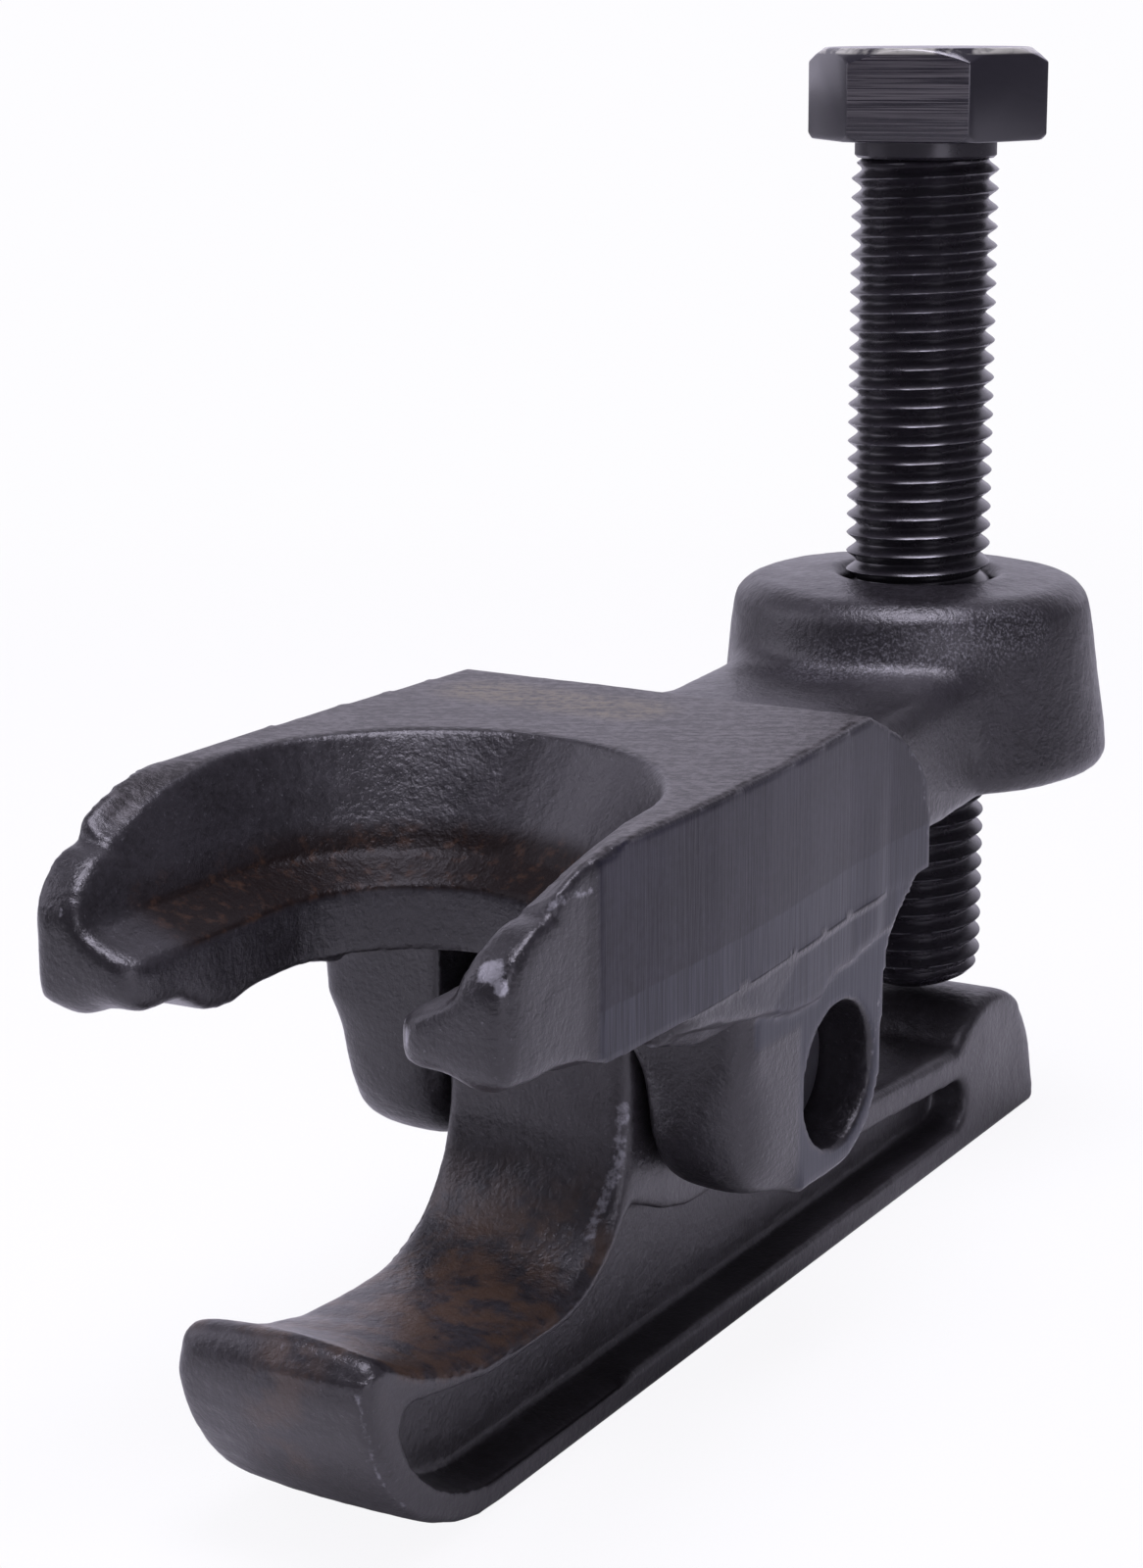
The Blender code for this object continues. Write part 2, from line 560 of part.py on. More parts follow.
def make_boss(cutters):
    top_edge = arc((BOSS_TOP_RADIUS - BOSS_EDGE, BOSS_TOP_Z - BOSS_EDGE), BOSS_EDGE, 90, 4)
    low_edge = arc((BOSS_BOTTOM_RADIUS - BOSS_LOWER_EDGE, BOSS_BOTTOM_Z + BOSS_LOWER_EDGE),
                   BOSS_LOWER_EDGE, -2, -90)
    crown = [(0.0, BOSS_TOP_Z + 0.0006), (BORE_RADIUS + BOSS_COUNTERSINK + 0.001, BOSS_TOP_Z + 0.0005)]
    return turned("boss", crown + top_edge + low_edge + [(0.0, BOSS_BOTTOM_Z)], cutters)


def bore_cutter(cutters):
    """The screw's hole, countersunk at both ends."""
    wide = BORE_RADIUS + BOSS_COUNTERSINK
    top, bottom = BOSS_TOP_Z + 0.0005, BOSS_BOTTOM_Z
    profile = [(0.0, top + 0.003), (wide + 0.003, top + 0.003), (BORE_RADIUS, top - BOSS_COUNTERSINK),
               (BORE_RADIUS, bottom + BOSS_COUNTERSINK), (wide + 0.003, bottom - 0.003), (0.0, bottom - 0.003)]
    return turned("bore_cutter", profile, cutters)


def make_fork(parts, cutters):
    fork = prism("fork", plate_plan(), PRONG_BOTTOM_Z - 0.003, FORK_TOP_Z + 0.003, "Z", parts)
    boolean(fork, prism("plate_side", plate_side(), -2 * FORK_HALF_WIDTH, 2 * FORK_HALF_WIDTH, "X", cutters),
            "INTERSECT")
    applied(fork)
    boolean(fork, mouth_cutter(cutters), "DIFFERENCE")
    applied(fork)
    bevelled(fork, PLATE_EDGE, 2, angle=38)
    for side in (1, -1):
        boolean(fork, make_rail(side, cutters), "UNION")
        boolean(fork, make_ear(side, cutters), "UNION")
    boolean(fork, make_neck(cutters), "UNION")
    boolean(fork, make_boss(cutters), "UNION")
    boolean(fork, bore_cutter(cutters), "DIFFERENCE")
    boolean(fork, cylinder_along_x("ear_hole_cutter", (PIN_Y, PIN_Z), PIN_HOLE_RADIUS,
                                   2 * EAR_OUTER_X, cutters), "DIFFERENCE")
    return applied(fork)


def make_pin(parts):
    half = EAR_OUTER_X - PIN_RECESS
    pin = cylinder_along_x("pivot_pin", (PIN_Y, PIN_Z), PIN_RADIUS, half, parts)
    return bevelled(pin, PIN_CHAMFER, 1)


def make_spindle(parts, cutters):
    half_angle = math.asin(NOSE_FLAT_RADIUS / NOSE_DOME_RADIUS)
    dome_centre = SCREW_TIP_Z + NOSE_DOME_RADIUS
    rim_z = dome_centre - NOSE_DOME_RADIUS * math.cos(half_angle)
    dome = [(NOSE_DOME_RADIUS * math.sin(half_angle * k / 4),
             dome_centre - NOSE_DOME_RADIUS * math.cos(half_angle * k / 4)) for k in (4, 3, 2, 1)]
    shank = [(0.0, HEAD_BOTTOM_Z + 0.001), (COLLAR_RADIUS, HEAD_BOTTOM_Z + 0.001),
             (COLLAR_RADIUS, HEAD_BOTTOM_Z - COLLAR_LENGTH),
             (THREAD_RADIUS, HEAD_BOTTOM_Z - COLLAR_LENGTH - 0.0006),
             (THREAD_RADIUS, rim_z + NOSE_CHAMFER_LENGTH)]
    spindle = turned("spindle", shank + dome + [(0.0, SCREW_TIP_Z)], parts)
    corner = HEAD_ACROSS_FLATS / math.sqrt(3)
    turns = [math.radians(HEAD_TURN + 60 * k) for k in range(6)]
    hexagon = [(corner * math.cos(turn), corner * math.sin(turn)) for turn in turns]
    head = prism("head", hexagon, HEAD_BOTTOM_Z, HEAD_BOTTOM_Z + HEAD_HEIGHT, "Z", cutters)
    flat = HEAD_ACROSS_FLATS / 2
    top, crown, foot = HEAD_BOTTOM_Z + HEAD_HEIGHT, flat - HEAD_TOP_INSET, corner - HEAD_FOOT_EDGE
    reach = corner + 0.001
    fall = (reach - crown) * math.tan(math.radians(HEAD_CHAMFER_ANGLE))
    cone = [(0.0, top), (crown, top), (reach, top - fall), (reach, HEAD_BOTTOM_Z + reach - foot),
            (foot, HEAD_BOTTOM_Z), (0.0, HEAD_BOTTOM_Z)]
    boolean(head, turned("head_chamfer", cone, cutters), "INTERSECT")
    applied(head)
    boolean(spindle, head, "UNION")
    return applied(spindle)


def main():
    clear_scene()
    parts = new_collection("ball_joint_puller")
    cutters = new_collection("cutters", hidden=True)
    forged = steel("forged_steel", (0.045, 0.045, 0.052), 0.42, 0.75)
    forged_lever = steel("forged_lever_steel", (0.050, 0.047, 0.050), 0.46, 0.70)
    blackened = steel("blackened_steel", (0.020, 0.020, 0.024), 0.30, 0.85)
    pin_steel = steel("pin_steel", (0.060, 0.062, 0.070), 0.38, 0.85)
    pin_axis = (0.0, PIN_Y, PIN_Z)
    finish(make_fork(parts, cutters), forged, (0.0, 0.0, 0.0))
    finish(make_lever(parts, cutters), forged_lever, pin_axis)
    finish(make_pin(parts), pin_steel, pin_axis)
    finish(make_spindle(parts, cutters), blackened, (0.0, 0.0, SCREW_TIP_Z))
    hide_cutters(cutters)


main()
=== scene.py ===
import math

import bmesh
import bpy
import numpy as np
from mathutils import Matrix, Vector


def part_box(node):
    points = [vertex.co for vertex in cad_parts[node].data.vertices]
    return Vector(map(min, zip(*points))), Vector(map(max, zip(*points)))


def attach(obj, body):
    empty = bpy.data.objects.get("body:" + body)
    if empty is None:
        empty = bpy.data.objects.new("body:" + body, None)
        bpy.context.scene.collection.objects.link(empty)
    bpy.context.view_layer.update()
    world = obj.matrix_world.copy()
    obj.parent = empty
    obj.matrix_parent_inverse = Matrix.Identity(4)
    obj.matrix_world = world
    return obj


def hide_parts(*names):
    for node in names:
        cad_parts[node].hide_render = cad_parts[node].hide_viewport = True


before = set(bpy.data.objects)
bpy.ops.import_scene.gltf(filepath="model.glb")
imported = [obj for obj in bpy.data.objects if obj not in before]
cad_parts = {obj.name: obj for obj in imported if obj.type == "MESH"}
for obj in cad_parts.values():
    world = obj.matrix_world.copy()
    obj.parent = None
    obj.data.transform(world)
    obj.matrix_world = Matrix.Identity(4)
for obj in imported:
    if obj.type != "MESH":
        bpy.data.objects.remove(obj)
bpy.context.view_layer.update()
scene = bpy.context.scene
scene.view_settings.view_transform = "Standard"

# Camera, at the photograph's place: ahead and to the right of the open mouth, a little above the
# tool and looking down on it.

CAMERA_PLACE = (0.14033, -0.30653, 0.12354)
CAMERA_HEADING = math.radians(-30.094)   # from +Y, clockwise seen from above is positive
CAMERA_TILT = math.radians(14.245)       # downwards
CAMERA_ROLL = math.radians(0.201)
CAMERA_LENS = 71.18
CAMERA_SHIFT = (-0.0332, 0.0072)

ahead = Vector((math.sin(CAMERA_HEADING) * math.cos(CAMERA_TILT),
                math.cos(CAMERA_HEADING) * math.cos(CAMERA_TILT), -math.sin(CAMERA_TILT)))
level_right = Vector((math.cos(CAMERA_HEADING), -math.sin(CAMERA_HEADING), 0.0))
level_down = ahead.cross(level_right)
right = math.cos(CAMERA_ROLL) * level_right + math.sin(CAMERA_ROLL) * level_down
up = math.sin(CAMERA_ROLL) * level_right - math.cos(CAMERA_ROLL) * level_down
camera_data = bpy.data.cameras.new("Camera")
camera_data.lens = CAMERA_LENS
camera_data.shift_x, camera_data.shift_y = CAMERA_SHIFT
camera = bpy.data.objects.new("Camera", camera_data)
camera.matrix_world = Matrix.Translation(CAMERA_PLACE) @ Matrix((right, up, -ahead)).transposed().to_4x4()
scene.collection.objects.link(camera)
scene.camera = camera

# Forcing screw: one bar of steel with a forged hexagon head, its thread rolled, blackened and oiled.
# It turns in the fork's boss and presses the lever's pad down with its domed nose.

MM_A_METRE = 1000.0
SAME_PLACE = 0.000002       # corners closer than this are one
FLAT_WITHIN = math.radians(0.6)
THREAD_PITCH = 0.002
CREST_RADIUS = 0.00782
ROOT_RADIUS = 0.00674
ROOT_ROUNDING = 0.24        # share of the flank that the rounded root takes
CREST_FLAT_START = 0.94     # share of the flank at which the flat crest begins
THREAD_START = math.radians(-69)
GROOVE_RADIUS = 0.0066      # the run-out groove below the collar
RUN_OUT_SLOPE = 1.3
NOSE_RADIUS = 0.0066
NOSE_DOME_RADIUS = 0.012
DOME_RINGS = (0.0063, 0.0052, 0.0036, 0.0018, 0.0)
COLLAR_RADIUS = 0.00752
COLLAR_LENGTH = 0.0019
COLLAR_EDGE = 0.0003
COLLAR_IN_HEAD = 0.0004     # its upper end lies inside the head
HEAD_HEIGHT = 0.0095
HEAD_EDGE = 0.00022
BRUSHED_FACE = math.radians(-78)    # only this side of the head is brushed bright
RIM_HIGHLIGHT_RADII = (10.1, 10.5)   # from the axis, in millimetres: the band of the head's painted rim highlight
SCREW_SIDES = 72
ROWS_A_TURN = 12
THREAD_BLACKS = ((0.009, 0.008, 0.010), (0.017, 0.015, 0.019))
HEAD_BLACK = (0.010, 0.009, 0.013)
HEAD_BRUSHED = (0.075, 0.070, 0.073)
# The crests' colour is a painted reflection as well as wear.
CREST_SHEEN_AND_WEAR = (0.16, 0.16, 0.17)
RIM_HIGHLIGHT_COLOUR = (0.30, 0.30, 0.26)


def link(tree, source, target):
    """Sets a socket from a number, a colour or another node's output."""
    if isinstance(source, bpy.types.NodeSocket):
        tree.links.new(source, target)
    elif isinstance(source, tuple) and len(source) == 3 and target.type == "RGBA":
        target.default_value = (*source, 1.0)
    else:
        target.default_value = source


def calc(tree, operation, *values):
    """A Math node's result. Each value is a number or another node's output."""
    node = tree.nodes.new("ShaderNodeMath")
    node.operation = operation
    for value, socket in zip(values, node.inputs):
        link(tree, value, socket)
    return node.outputs[0]


def thread_tree():
    """A grid bent round the screw's axis along its helix, so that crests and roots are rows of edges."""
    tree = bpy.data.node_groups.new("Rolled thread", "GeometryNodeTree")
    for name in ("Pitch", "Bottom", "Top", "Crest radius", "Root radius", "Nose radius", "Groove radius",
                 "Start angle"):
        tree.interface.new_socket(name, in_out="INPUT", socket_type="NodeSocketFloat")
    for name in ("Sides", "Rows a turn"):
        tree.interface.new_socket(name, in_out="INPUT", socket_type="NodeSocketInt")
    tree.interface.new_socket("Material", in_out="INPUT", socket_type="NodeSocketMaterial")
    tree.interface.new_socket("Geometry", in_out="OUTPUT", socket_type="NodeSocketGeometry")
    given = tree.nodes.new("NodeGroupInput").outputs
    pitch, bottom, top = given["Pitch"], given["Bottom"], given["Top"]
    length = calc(tree, "SUBTRACT", top, bottom)
    turns = calc(tree, "ADD", calc(tree, "CEIL", calc(tree, "DIVIDE", length, pitch)), 1)
    rows = calc(tree, "MULTIPLY", turns, given["Rows a turn"])
    grid = tree.nodes.new("GeometryNodeMeshGrid")
    tree.links.new(calc(tree, "ADD", given["Sides"], 1), grid.inputs["Vertices X"])
    tree.links.new(calc(tree, "ADD", rows, 1), grid.inputs["Vertices Y"])
    place = tree.nodes.new("ShaderNodeSeparateXYZ")
    tree.links.new(tree.nodes.new("GeometryNodeInputPosition").outputs[0], place.inputs[0])
    around = calc(tree, "ADD", place.outputs[0], 0.5)
    along = calc(tree, "ADD", place.outputs[1], 0.5)
    climb = calc(tree, "SUBTRACT", calc(tree, "ADD", calc(tree, "MULTIPLY", along, turns), around), 1)
    z = calc(tree, "ADD", bottom, calc(tree, "MULTIPLY", climb, pitch))
    z = calc(tree, "MINIMUM", calc(tree, "MAXIMUM", z, bottom), top)
    risen = calc(tree, "SUBTRACT", z, bottom)
    turns_risen = calc(tree, "DIVIDE", risen, pitch)
    phase = calc(tree, "FLOORED_MODULO", calc(tree, "SUBTRACT", turns_risen, around), 1)
    flank = calc(tree, "ABSOLUTE", calc(tree, "SUBTRACT", calc(tree, "MULTIPLY", phase, 2), 1))
    rounded = calc(tree, "SQRT", calc(tree, "ADD", calc(tree, "POWER", flank, 2), ROOT_ROUNDING ** 2))
    full = math.sqrt(CREST_FLAT_START ** 2 + ROOT_ROUNDING ** 2) - ROOT_ROUNDING
    height = calc(tree, "DIVIDE", calc(tree, "SUBTRACT", rounded, ROOT_ROUNDING), full)
    height = calc(tree, "MINIMUM", height, 1)
    depth = calc(tree, "SUBTRACT", given["Crest radius"], given["Root radius"])
    thread = calc(tree, "ADD", given["Root radius"], calc(tree, "MULTIPLY", height, depth))
    nose = calc(tree, "ADD", given["Nose radius"], risen)
    run_out = calc(tree, "MULTIPLY", calc(tree, "SUBTRACT", top, z), RUN_OUT_SLOPE)
    groove = calc(tree, "ADD", given["Groove radius"], run_out)
    radius = calc(tree, "MINIMUM", calc(tree, "MINIMUM", thread, nose), groove)
    angle = calc(tree, "ADD", calc(tree, "MULTIPLY", around, 2 * math.pi), given["Start angle"])
    where = tree.nodes.new("ShaderNodeCombineXYZ")
    tree.links.new(calc(tree, "MULTIPLY", radius, calc(tree, "COSINE", angle)), where.inputs[0])
    tree.links.new(calc(tree, "MULTIPLY", radius, calc(tree, "SINE", angle)), where.inputs[1])
    tree.links.new(z, where.inputs[2])
    bent = tree.nodes.new("GeometryNodeSetPosition")
    tree.links.new(grid.outputs["Mesh"], bent.inputs["Geometry"])
    tree.links.new(where.outputs[0], bent.inputs["Position"])
    seam = tree.nodes.new("GeometryNodeMergeByDistance")
    seam.inputs["Distance"].default_value = SAME_PLACE
    tree.links.new(bent.outputs[0], seam.inputs[0])
    end_tree(tree, seam.outputs[0], given["Material"])
    return tree


def end_tree(tree, geometry, material):
    """Realizes instances and sets the material, as the last nodes of a tree."""
    realized = tree.nodes.new("GeometryNodeRealizeInstances")
    coloured = tree.nodes.new("GeometryNodeSetMaterial")
    tree.links.new(geometry, realized.inputs[0])
    tree.links.new(realized.outputs[0], coloured.inputs["Geometry"])
    tree.links.new(material, coloured.inputs["Material"])
    tree.links.new(coloured.outputs[0], tree.nodes.new("NodeGroupOutput").inputs[0])


def made_by(tree, obj, values):
    """Runs a node tree on an object with the values given by input name, and keeps its plain mesh."""
    modifier = obj.modifiers.new(tree.name, "NODES")
    modifier.node_group = tree
    for item in tree.interface.items_tree:
        if item.in_out == "INPUT" and item.name in values:
            modifier[item.identifier] = values[item.name]
    return evaluated(obj)


def evaluated(obj):
    """Replaces an object's mesh by its evaluated one and clears its modifiers."""
    bpy.context.view_layer.update()
    mesh = bpy.data.meshes.new_from_object(obj.evaluated_get(bpy.context.evaluated_depsgraph_get()))
    obj.modifiers.clear()
    obj.data = mesh
    return obj


def new_piece(name, mesh):
    obj = bpy.data.objects.new(name, mesh)
    scene.collection.objects.link(obj)
    return obj


def welded_copy(node, name):
    """A copy of a CAD node's mesh, its loose triangles joined and its flat faces made whole."""
    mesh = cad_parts[node].data.copy()
    shape = bmesh.new()
    shape.from_mesh(mesh)
    bmesh.ops.remove_doubles(shape, verts=shape.verts, dist=SAME_PLACE)
    bmesh.ops.dissolve_limit(shape, angle_limit=FLAT_WITHIN, verts=shape.verts, edges=shape.edges)
    shape.to_mesh(mesh)
    shape.free()
    mesh.materials.clear()
    return new_piece(name, mesh)


def close_end(shape, start_z, profile):
    """Carries the open ring of edges at a height on through rings of (radius, z), to a pole on the axis."""
    ring = [v for v in shape.verts if v.is_boundary and abs(v.co.z - start_z) < 0.00001]
    ring.sort(key=lambda v: math.atan2(v.co.y, v.co.x))
    angles = [math.atan2(v.co.y, v.co.x) for v in ring]
    for radius, z in profile[:-1]:
        after = [shape.verts.new((radius * math.cos(a), radius * math.sin(a), z)) for a in angles]
        for i in range(len(ring)):
            j = (i + 1) % len(ring)
            shape.faces.new((ring[i], ring[j], after[j], after[i]))
        ring = after
    pole = shape.verts.new((0.0, 0.0, profile[-1][1]))
    for i in range(len(ring)):
        shape.faces.new((ring[i], ring[(i + 1) % len(ring)], pole))


def mix(tree, factor, first, second):
    """One colour or number laid over another where the factor is 1."""
    node = tree.nodes.new("ShaderNodeMix")
    coloured = isinstance(first, tuple) or isinstance(second, tuple) or (
        isinstance(first, bpy.types.NodeSocket) and first.type == "RGBA")
    node.data_type = "RGBA" if coloured else "FLOAT"
    slots = [s for s in node.inputs if s.enabled]
    link(tree, factor, slots[0])
    link(tree, first, slots[1])
    link(tree, second, slots[2])
    return next(s for s in node.outputs if s.enabled)


def object_place(tree, stretch=(1.0, 1.0, 1.0)):
    """Object coordinates, each axis multiplied, so that a large factor makes a pattern fine along it."""
    place = tree.nodes.new("ShaderNodeTexCoord").outputs["Object"]
    node = tree.nodes.new("ShaderNodeVectorMath")
    node.operation = "MULTIPLY"
    tree.links.new(place, node.inputs[0])
    node.inputs[1].default_value = stretch
    return node.outputs[0]


def noise(tree, vector, scale, detail=3.0, roughness=0.55):
    node = tree.nodes.new("ShaderNodeTexNoise")
    link(tree, scale, node.inputs["Scale"])
    node.inputs["Detail"].default_value = detail
    node.inputs["Roughness"].default_value = roughness
    tree.links.new(vector, node.inputs["Vector"])
    return node.outputs["Fac"]


def step(tree, value, start, end):
    """0 below the start, 1 above the end, smooth between; falls instead if the start is above the end."""
    node = tree.nodes.new("ShaderNodeMapRange")
    node.interpolation_type = "SMOOTHSTEP"
    low, high = (start, end) if start < end else (end, start)
    node.inputs["From Min"].default_value = low
    node.inputs["From Max"].default_value = high
    node.inputs["To Min"].default_value = 0.0 if start < end else 1.0
    node.inputs["To Max"].default_value = 1.0 if start < end else 0.0
    tree.links.new(value, node.inputs["Value"])
    return node.outputs["Result"]


def bump(tree, height, distance, strength):
    node = tree.nodes.new("ShaderNodeBump")
    node.inputs["Distance"].default_value = distance
    node.inputs["Strength"].default_value = strength
    tree.links.new(height, node.inputs["Height"])
    return node.outputs[0]


def coordinates(tree):
    """X, Y and Z of the object's own place, in millimetres."""
    split = tree.nodes.new("ShaderNodeSeparateXYZ")
    tree.links.new(object_place(tree, (MM_A_METRE, MM_A_METRE, MM_A_METRE)), split.inputs[0])
    return split.outputs[0], split.outputs[1], split.outputs[2]


def off_axis(tree, x, y):
    """The distance from the screw's axis."""
    return calc(tree, "SQRT", calc(tree, "ADD", calc(tree, "POWER", x, 2), calc(tree, "POWER", y, 2)))


def screw_material():
    material = bpy.data.materials.new("Oiled black steel")
    material.use_nodes = True
    tree = material.node_tree
    shader = tree.nodes["Principled BSDF"]
    x, y, z = coordinates(tree)
    radius = off_axis(tree, x, y)
    head_start, head_end = MM_A_METRE * head_bottom, MM_A_METRE * screw_high.z
    on_head = step(tree, z, head_start - 0.2, head_start - 0.1)
    fine = noise(tree, object_place(tree), 700, 4)
    facing = tree.nodes.new("ShaderNodeVectorMath")
    facing.operation = "DOT_PRODUCT"
    facing.inputs[1].default_value = (math.cos(BRUSHED_FACE), math.sin(BRUSHED_FACE), 0.0)
    tree.links.new(tree.nodes.new("ShaderNodeTexCoord").outputs["Normal"], facing.inputs[0])
    streaks = step(tree, noise(tree, object_place(tree, (60.0, 60.0, 9000.0)), 1.0, 3), 0.40, 0.68)
    streaks = calc(tree, "MULTIPLY", streaks, step(tree, facing.outputs["Value"], 0.90, 0.96))

    crest_at = MM_A_METRE * CREST_RADIUS
    # Painted reflection and wear: the thread's crests lighter grey and partly metallic, in patches,
    # standing in for the rim of light along them as well as for wear.
    patches = step(tree, noise(tree, object_place(tree), 420, 3), 0.42, 0.62)
    crest = calc(tree, "MULTIPLY", step(tree, radius, crest_at - 0.10, crest_at - 0.01), patches)
    crest = calc(tree, "MULTIPLY", crest, calc(tree, "SUBTRACT", 1.0, on_head))
    # Painted highlight: a pale band along the head's top rim, broken up by noise.
    rim = step(tree, z, head_end - 0.75, head_end - 0.45)
    rim = calc(tree, "MULTIPLY", rim, step(tree, radius, *RIM_HIGHLIGHT_RADII))
    rim_highlight = calc(tree, "MULTIPLY", rim, step(tree, noise(tree, object_place(tree), 330, 3), 0.35, 0.55))

    colour = mix(tree, noise(tree, object_place(tree), 130, 2), *THREAD_BLACKS)
    colour = mix(tree, on_head, colour, mix(tree, streaks, HEAD_BLACK, HEAD_BRUSHED))
    colour = mix(tree, crest, colour, CREST_SHEEN_AND_WEAR)
    colour = mix(tree, rim_highlight, colour, RIM_HIGHLIGHT_COLOUR)
    link(tree, colour, shader.inputs["Base Color"])
    roughness = mix(tree, on_head, mix(tree, fine, 0.16, 0.34), mix(tree, streaks, 0.24, 0.38))
    link(tree, roughness, shader.inputs["Roughness"])
    link(tree, mix(tree, crest, 0.0, 0.7), shader.inputs["Metallic"])
    shader.inputs["Specular IOR Level"].default_value = 0.55
    link(tree, bump(tree, mix(tree, on_head, fine, streaks), 0.00002, 0.5), shader.inputs["Normal"])
    return material


screw_low, screw_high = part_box("spindle")
head_bottom = screw_high.z - HEAD_HEIGHT
thread_top = head_bottom - COLLAR_LENGTH
dome_rise = NOSE_DOME_RADIUS - math.sqrt(NOSE_DOME_RADIUS ** 2 - NOSE_RADIUS ** 2)
thread_bottom = screw_low.z + dome_rise
oiled_black = screw_material()
screw = made_by(thread_tree(), new_piece("screw", bpy.data.meshes.new("screw")), {
    "Pitch": THREAD_PITCH, "Bottom": thread_bottom, "Top": thread_top, "Crest radius": CREST_RADIUS,
    "Root radius": ROOT_RADIUS, "Nose radius": NOSE_RADIUS, "Groove radius": GROOVE_RADIUS,
    "Start angle": THREAD_START, "Sides": SCREW_SIDES, "Rows a turn": ROWS_A_TURN, "Material": oiled_black})
shape = bmesh.new()
shape.from_mesh(screw.data)
dome = [(r, screw_low.z + NOSE_DOME_RADIUS - math.sqrt(NOSE_DOME_RADIUS ** 2 - r ** 2)) for r in DOME_RINGS]
close_end(shape, thread_bottom, dome)
collar_top = head_bottom + COLLAR_IN_HEAD
collar = [(COLLAR_RADIUS - COLLAR_EDGE, thread_top + 0.00002), (COLLAR_RADIUS, thread_top + COLLAR_EDGE),
          (COLLAR_RADIUS, collar_top), (0.0, collar_top)]
close_end(shape, thread_top, collar)
bmesh.ops.recalc_face_normals(shape, faces=shape.faces)
shape.to_mesh(screw.data)
shape.free()
screw.data.materials.clear()
screw.data.materials.append(oiled_black)
screw.data.polygons.foreach_set("material_index", [0] * len(screw.data.polygons))
screw.data.shade_smooth()
screw.data.set_sharp_from_angle(angle=math.radians(38))

head = welded_copy("spindle", "screw_head")
shape = bmesh.new()
shape.from_mesh(head.data)
shank = [f for f in shape.faces if f.calc_center_median().z < head_bottom - 0.00001]
bmesh.ops.delete(shape, geom=shank, context="FACES")
bmesh.ops.holes_fill(shape, edges=[e for e in shape.edges if e.is_boundary], sides=0)
bmesh.ops.recalc_face_normals(shape, faces=shape.faces)
shape.to_mesh(head.data)
shape.free()
head.data.materials.append(oiled_black)
soften = head.modifiers.new("Softened corners", "BEVEL")
soften.width = HEAD_EDGE
soften.segments = 2
soften.limit_method = "ANGLE"
soften.angle_limit = math.radians(20)
evaluated(head)
head.data.shade_smooth()
head.data.set_sharp_from_angle(angle=math.radians(32))
for piece in (screw, head):
    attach(piece, "screw_body")
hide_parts("spindle")

# Lever: one drop forging, its foot ground flat, the rest left as forged and blackened. The fork's
# pin goes through it, and its pad lies under the screw's nose.

LEVER_CELL = 0.00042
LEVER_HALF_WIDTH = 0.00985
LEVER_RELAX = 8             # rounds, as for the other values named so
TOE_RELAX = 45
PAD_RELAX = 45
JAW_CENTRE_RISE = 0.0003
JAW_EDGE_DROP = 0.0006
TOE_CROWN = 0.00065
FORGED_GRAIN = {"Wave size": 0.009, "Wave depth": 0.00035, "Grain size": 0.0014, "Grain depth": 0.00009}
TOE_FLASHES = (((0.0013, -0.1211, 0.0194), (0.0027, -0.1214, 0.0136), (0.0030, -0.1192, 0.0088)),
               ((0.0088, -0.1218, 0.0174), (0.0092, -0.1213, 0.0139), (0.0089, -0.1194, 0.0093),
                (0.0091, -0.1159, 0.0050)))
TOE_RUST = ((0.0021, -0.1216, 0.0186), (0.0, -0.1205, 0.010))
# Path of a painted highlight along the jaw's rim.
JAW_RIM = ((0.0090, -0.0803, 0.0284), (0.0089, -0.0810, 0.0230), (0.0082, -0.0824, 0.0201),
           (0.0079, -0.0846, 0.0175))
LEVER_BLACKS = ((0.0135, 0.0118, 0.0130), (0.0270, 0.0250, 0.0280))
LEVER_SPECK = (0.14, 0.14, 0.15)
LEVER_RUST = (0.060, 0.036, 0.022)
LEVER_WORN_AND_HIGHLIGHT = (0.20, 0.20, 0.215)
SPECK_SHARE = 0.35
WEAR_START = 0.62           # the sharpness from which a corner is worn


def smooth(value, start, end):
    """0 before the start, 1 past the end, smooth between; the end may lie below the start."""
    share = np.clip((value - start) / (end - start), 0.0, 1.0)
    return share * share * (3.0 - 2.0 * share)


def cells_of(node, name, cell):
    """A copy of a CAD node in even cells, its corners kept, fine enough to be shaped and grained."""
    obj = welded_copy(node, name)
    even = obj.modifiers.new("Even cells", "REMESH")
    even.mode = "SHARP"
    even.octree_depth = 9
    even.scale = max(obj.dimensions) / (cell * 2 ** even.octree_depth)
    even.use_remove_disconnected = False
    return evaluated(obj)


def places_of(mesh):
    places = np.empty(3 * len(mesh.vertices))
    mesh.vertices.foreach_get("co", places)
    return places.reshape(-1, 3)


def normals_of(mesh):
    normals = np.empty(3 * len(mesh.vertices), dtype=np.float32)
    mesh.vertex_normals.foreach_get("vector", normals)
    return normals.reshape(-1, 3).astype(float)


def edges_of(mesh):
    ends = np.empty(2 * len(mesh.edges), dtype=np.int32)
    mesh.edges.foreach_get("vertices", ends)
    return ends.reshape(-1, 2)


def put_back(mesh, places):
    mesh.vertices.foreach_set("co", places.ravel())
    mesh.update()


def averaged(values, edges):
    """Each vertex's mean over the vertices it shares an edge with."""
    count = len(values)
    first, second = edges[:, 0], edges[:, 1]
    meets = np.bincount(first, minlength=count) + np.bincount(second, minlength=count)
    columns = values.reshape(count, -1).T
    total = [np.bincount(first, c[second], count) + np.bincount(second, c[first], count) for c in columns]
    return (np.array(total) / np.maximum(meets, 1)).T.reshape(values.shape)


def relax(places, edges, share, rounds):
    """Draws every vertex towards its neighbours, which rounds corners by about a cell a few rounds."""
    for _ in range(rounds):
        places = places + np.asarray(share).reshape(-1, 1) * (averaged(places, edges) - places)
    return places


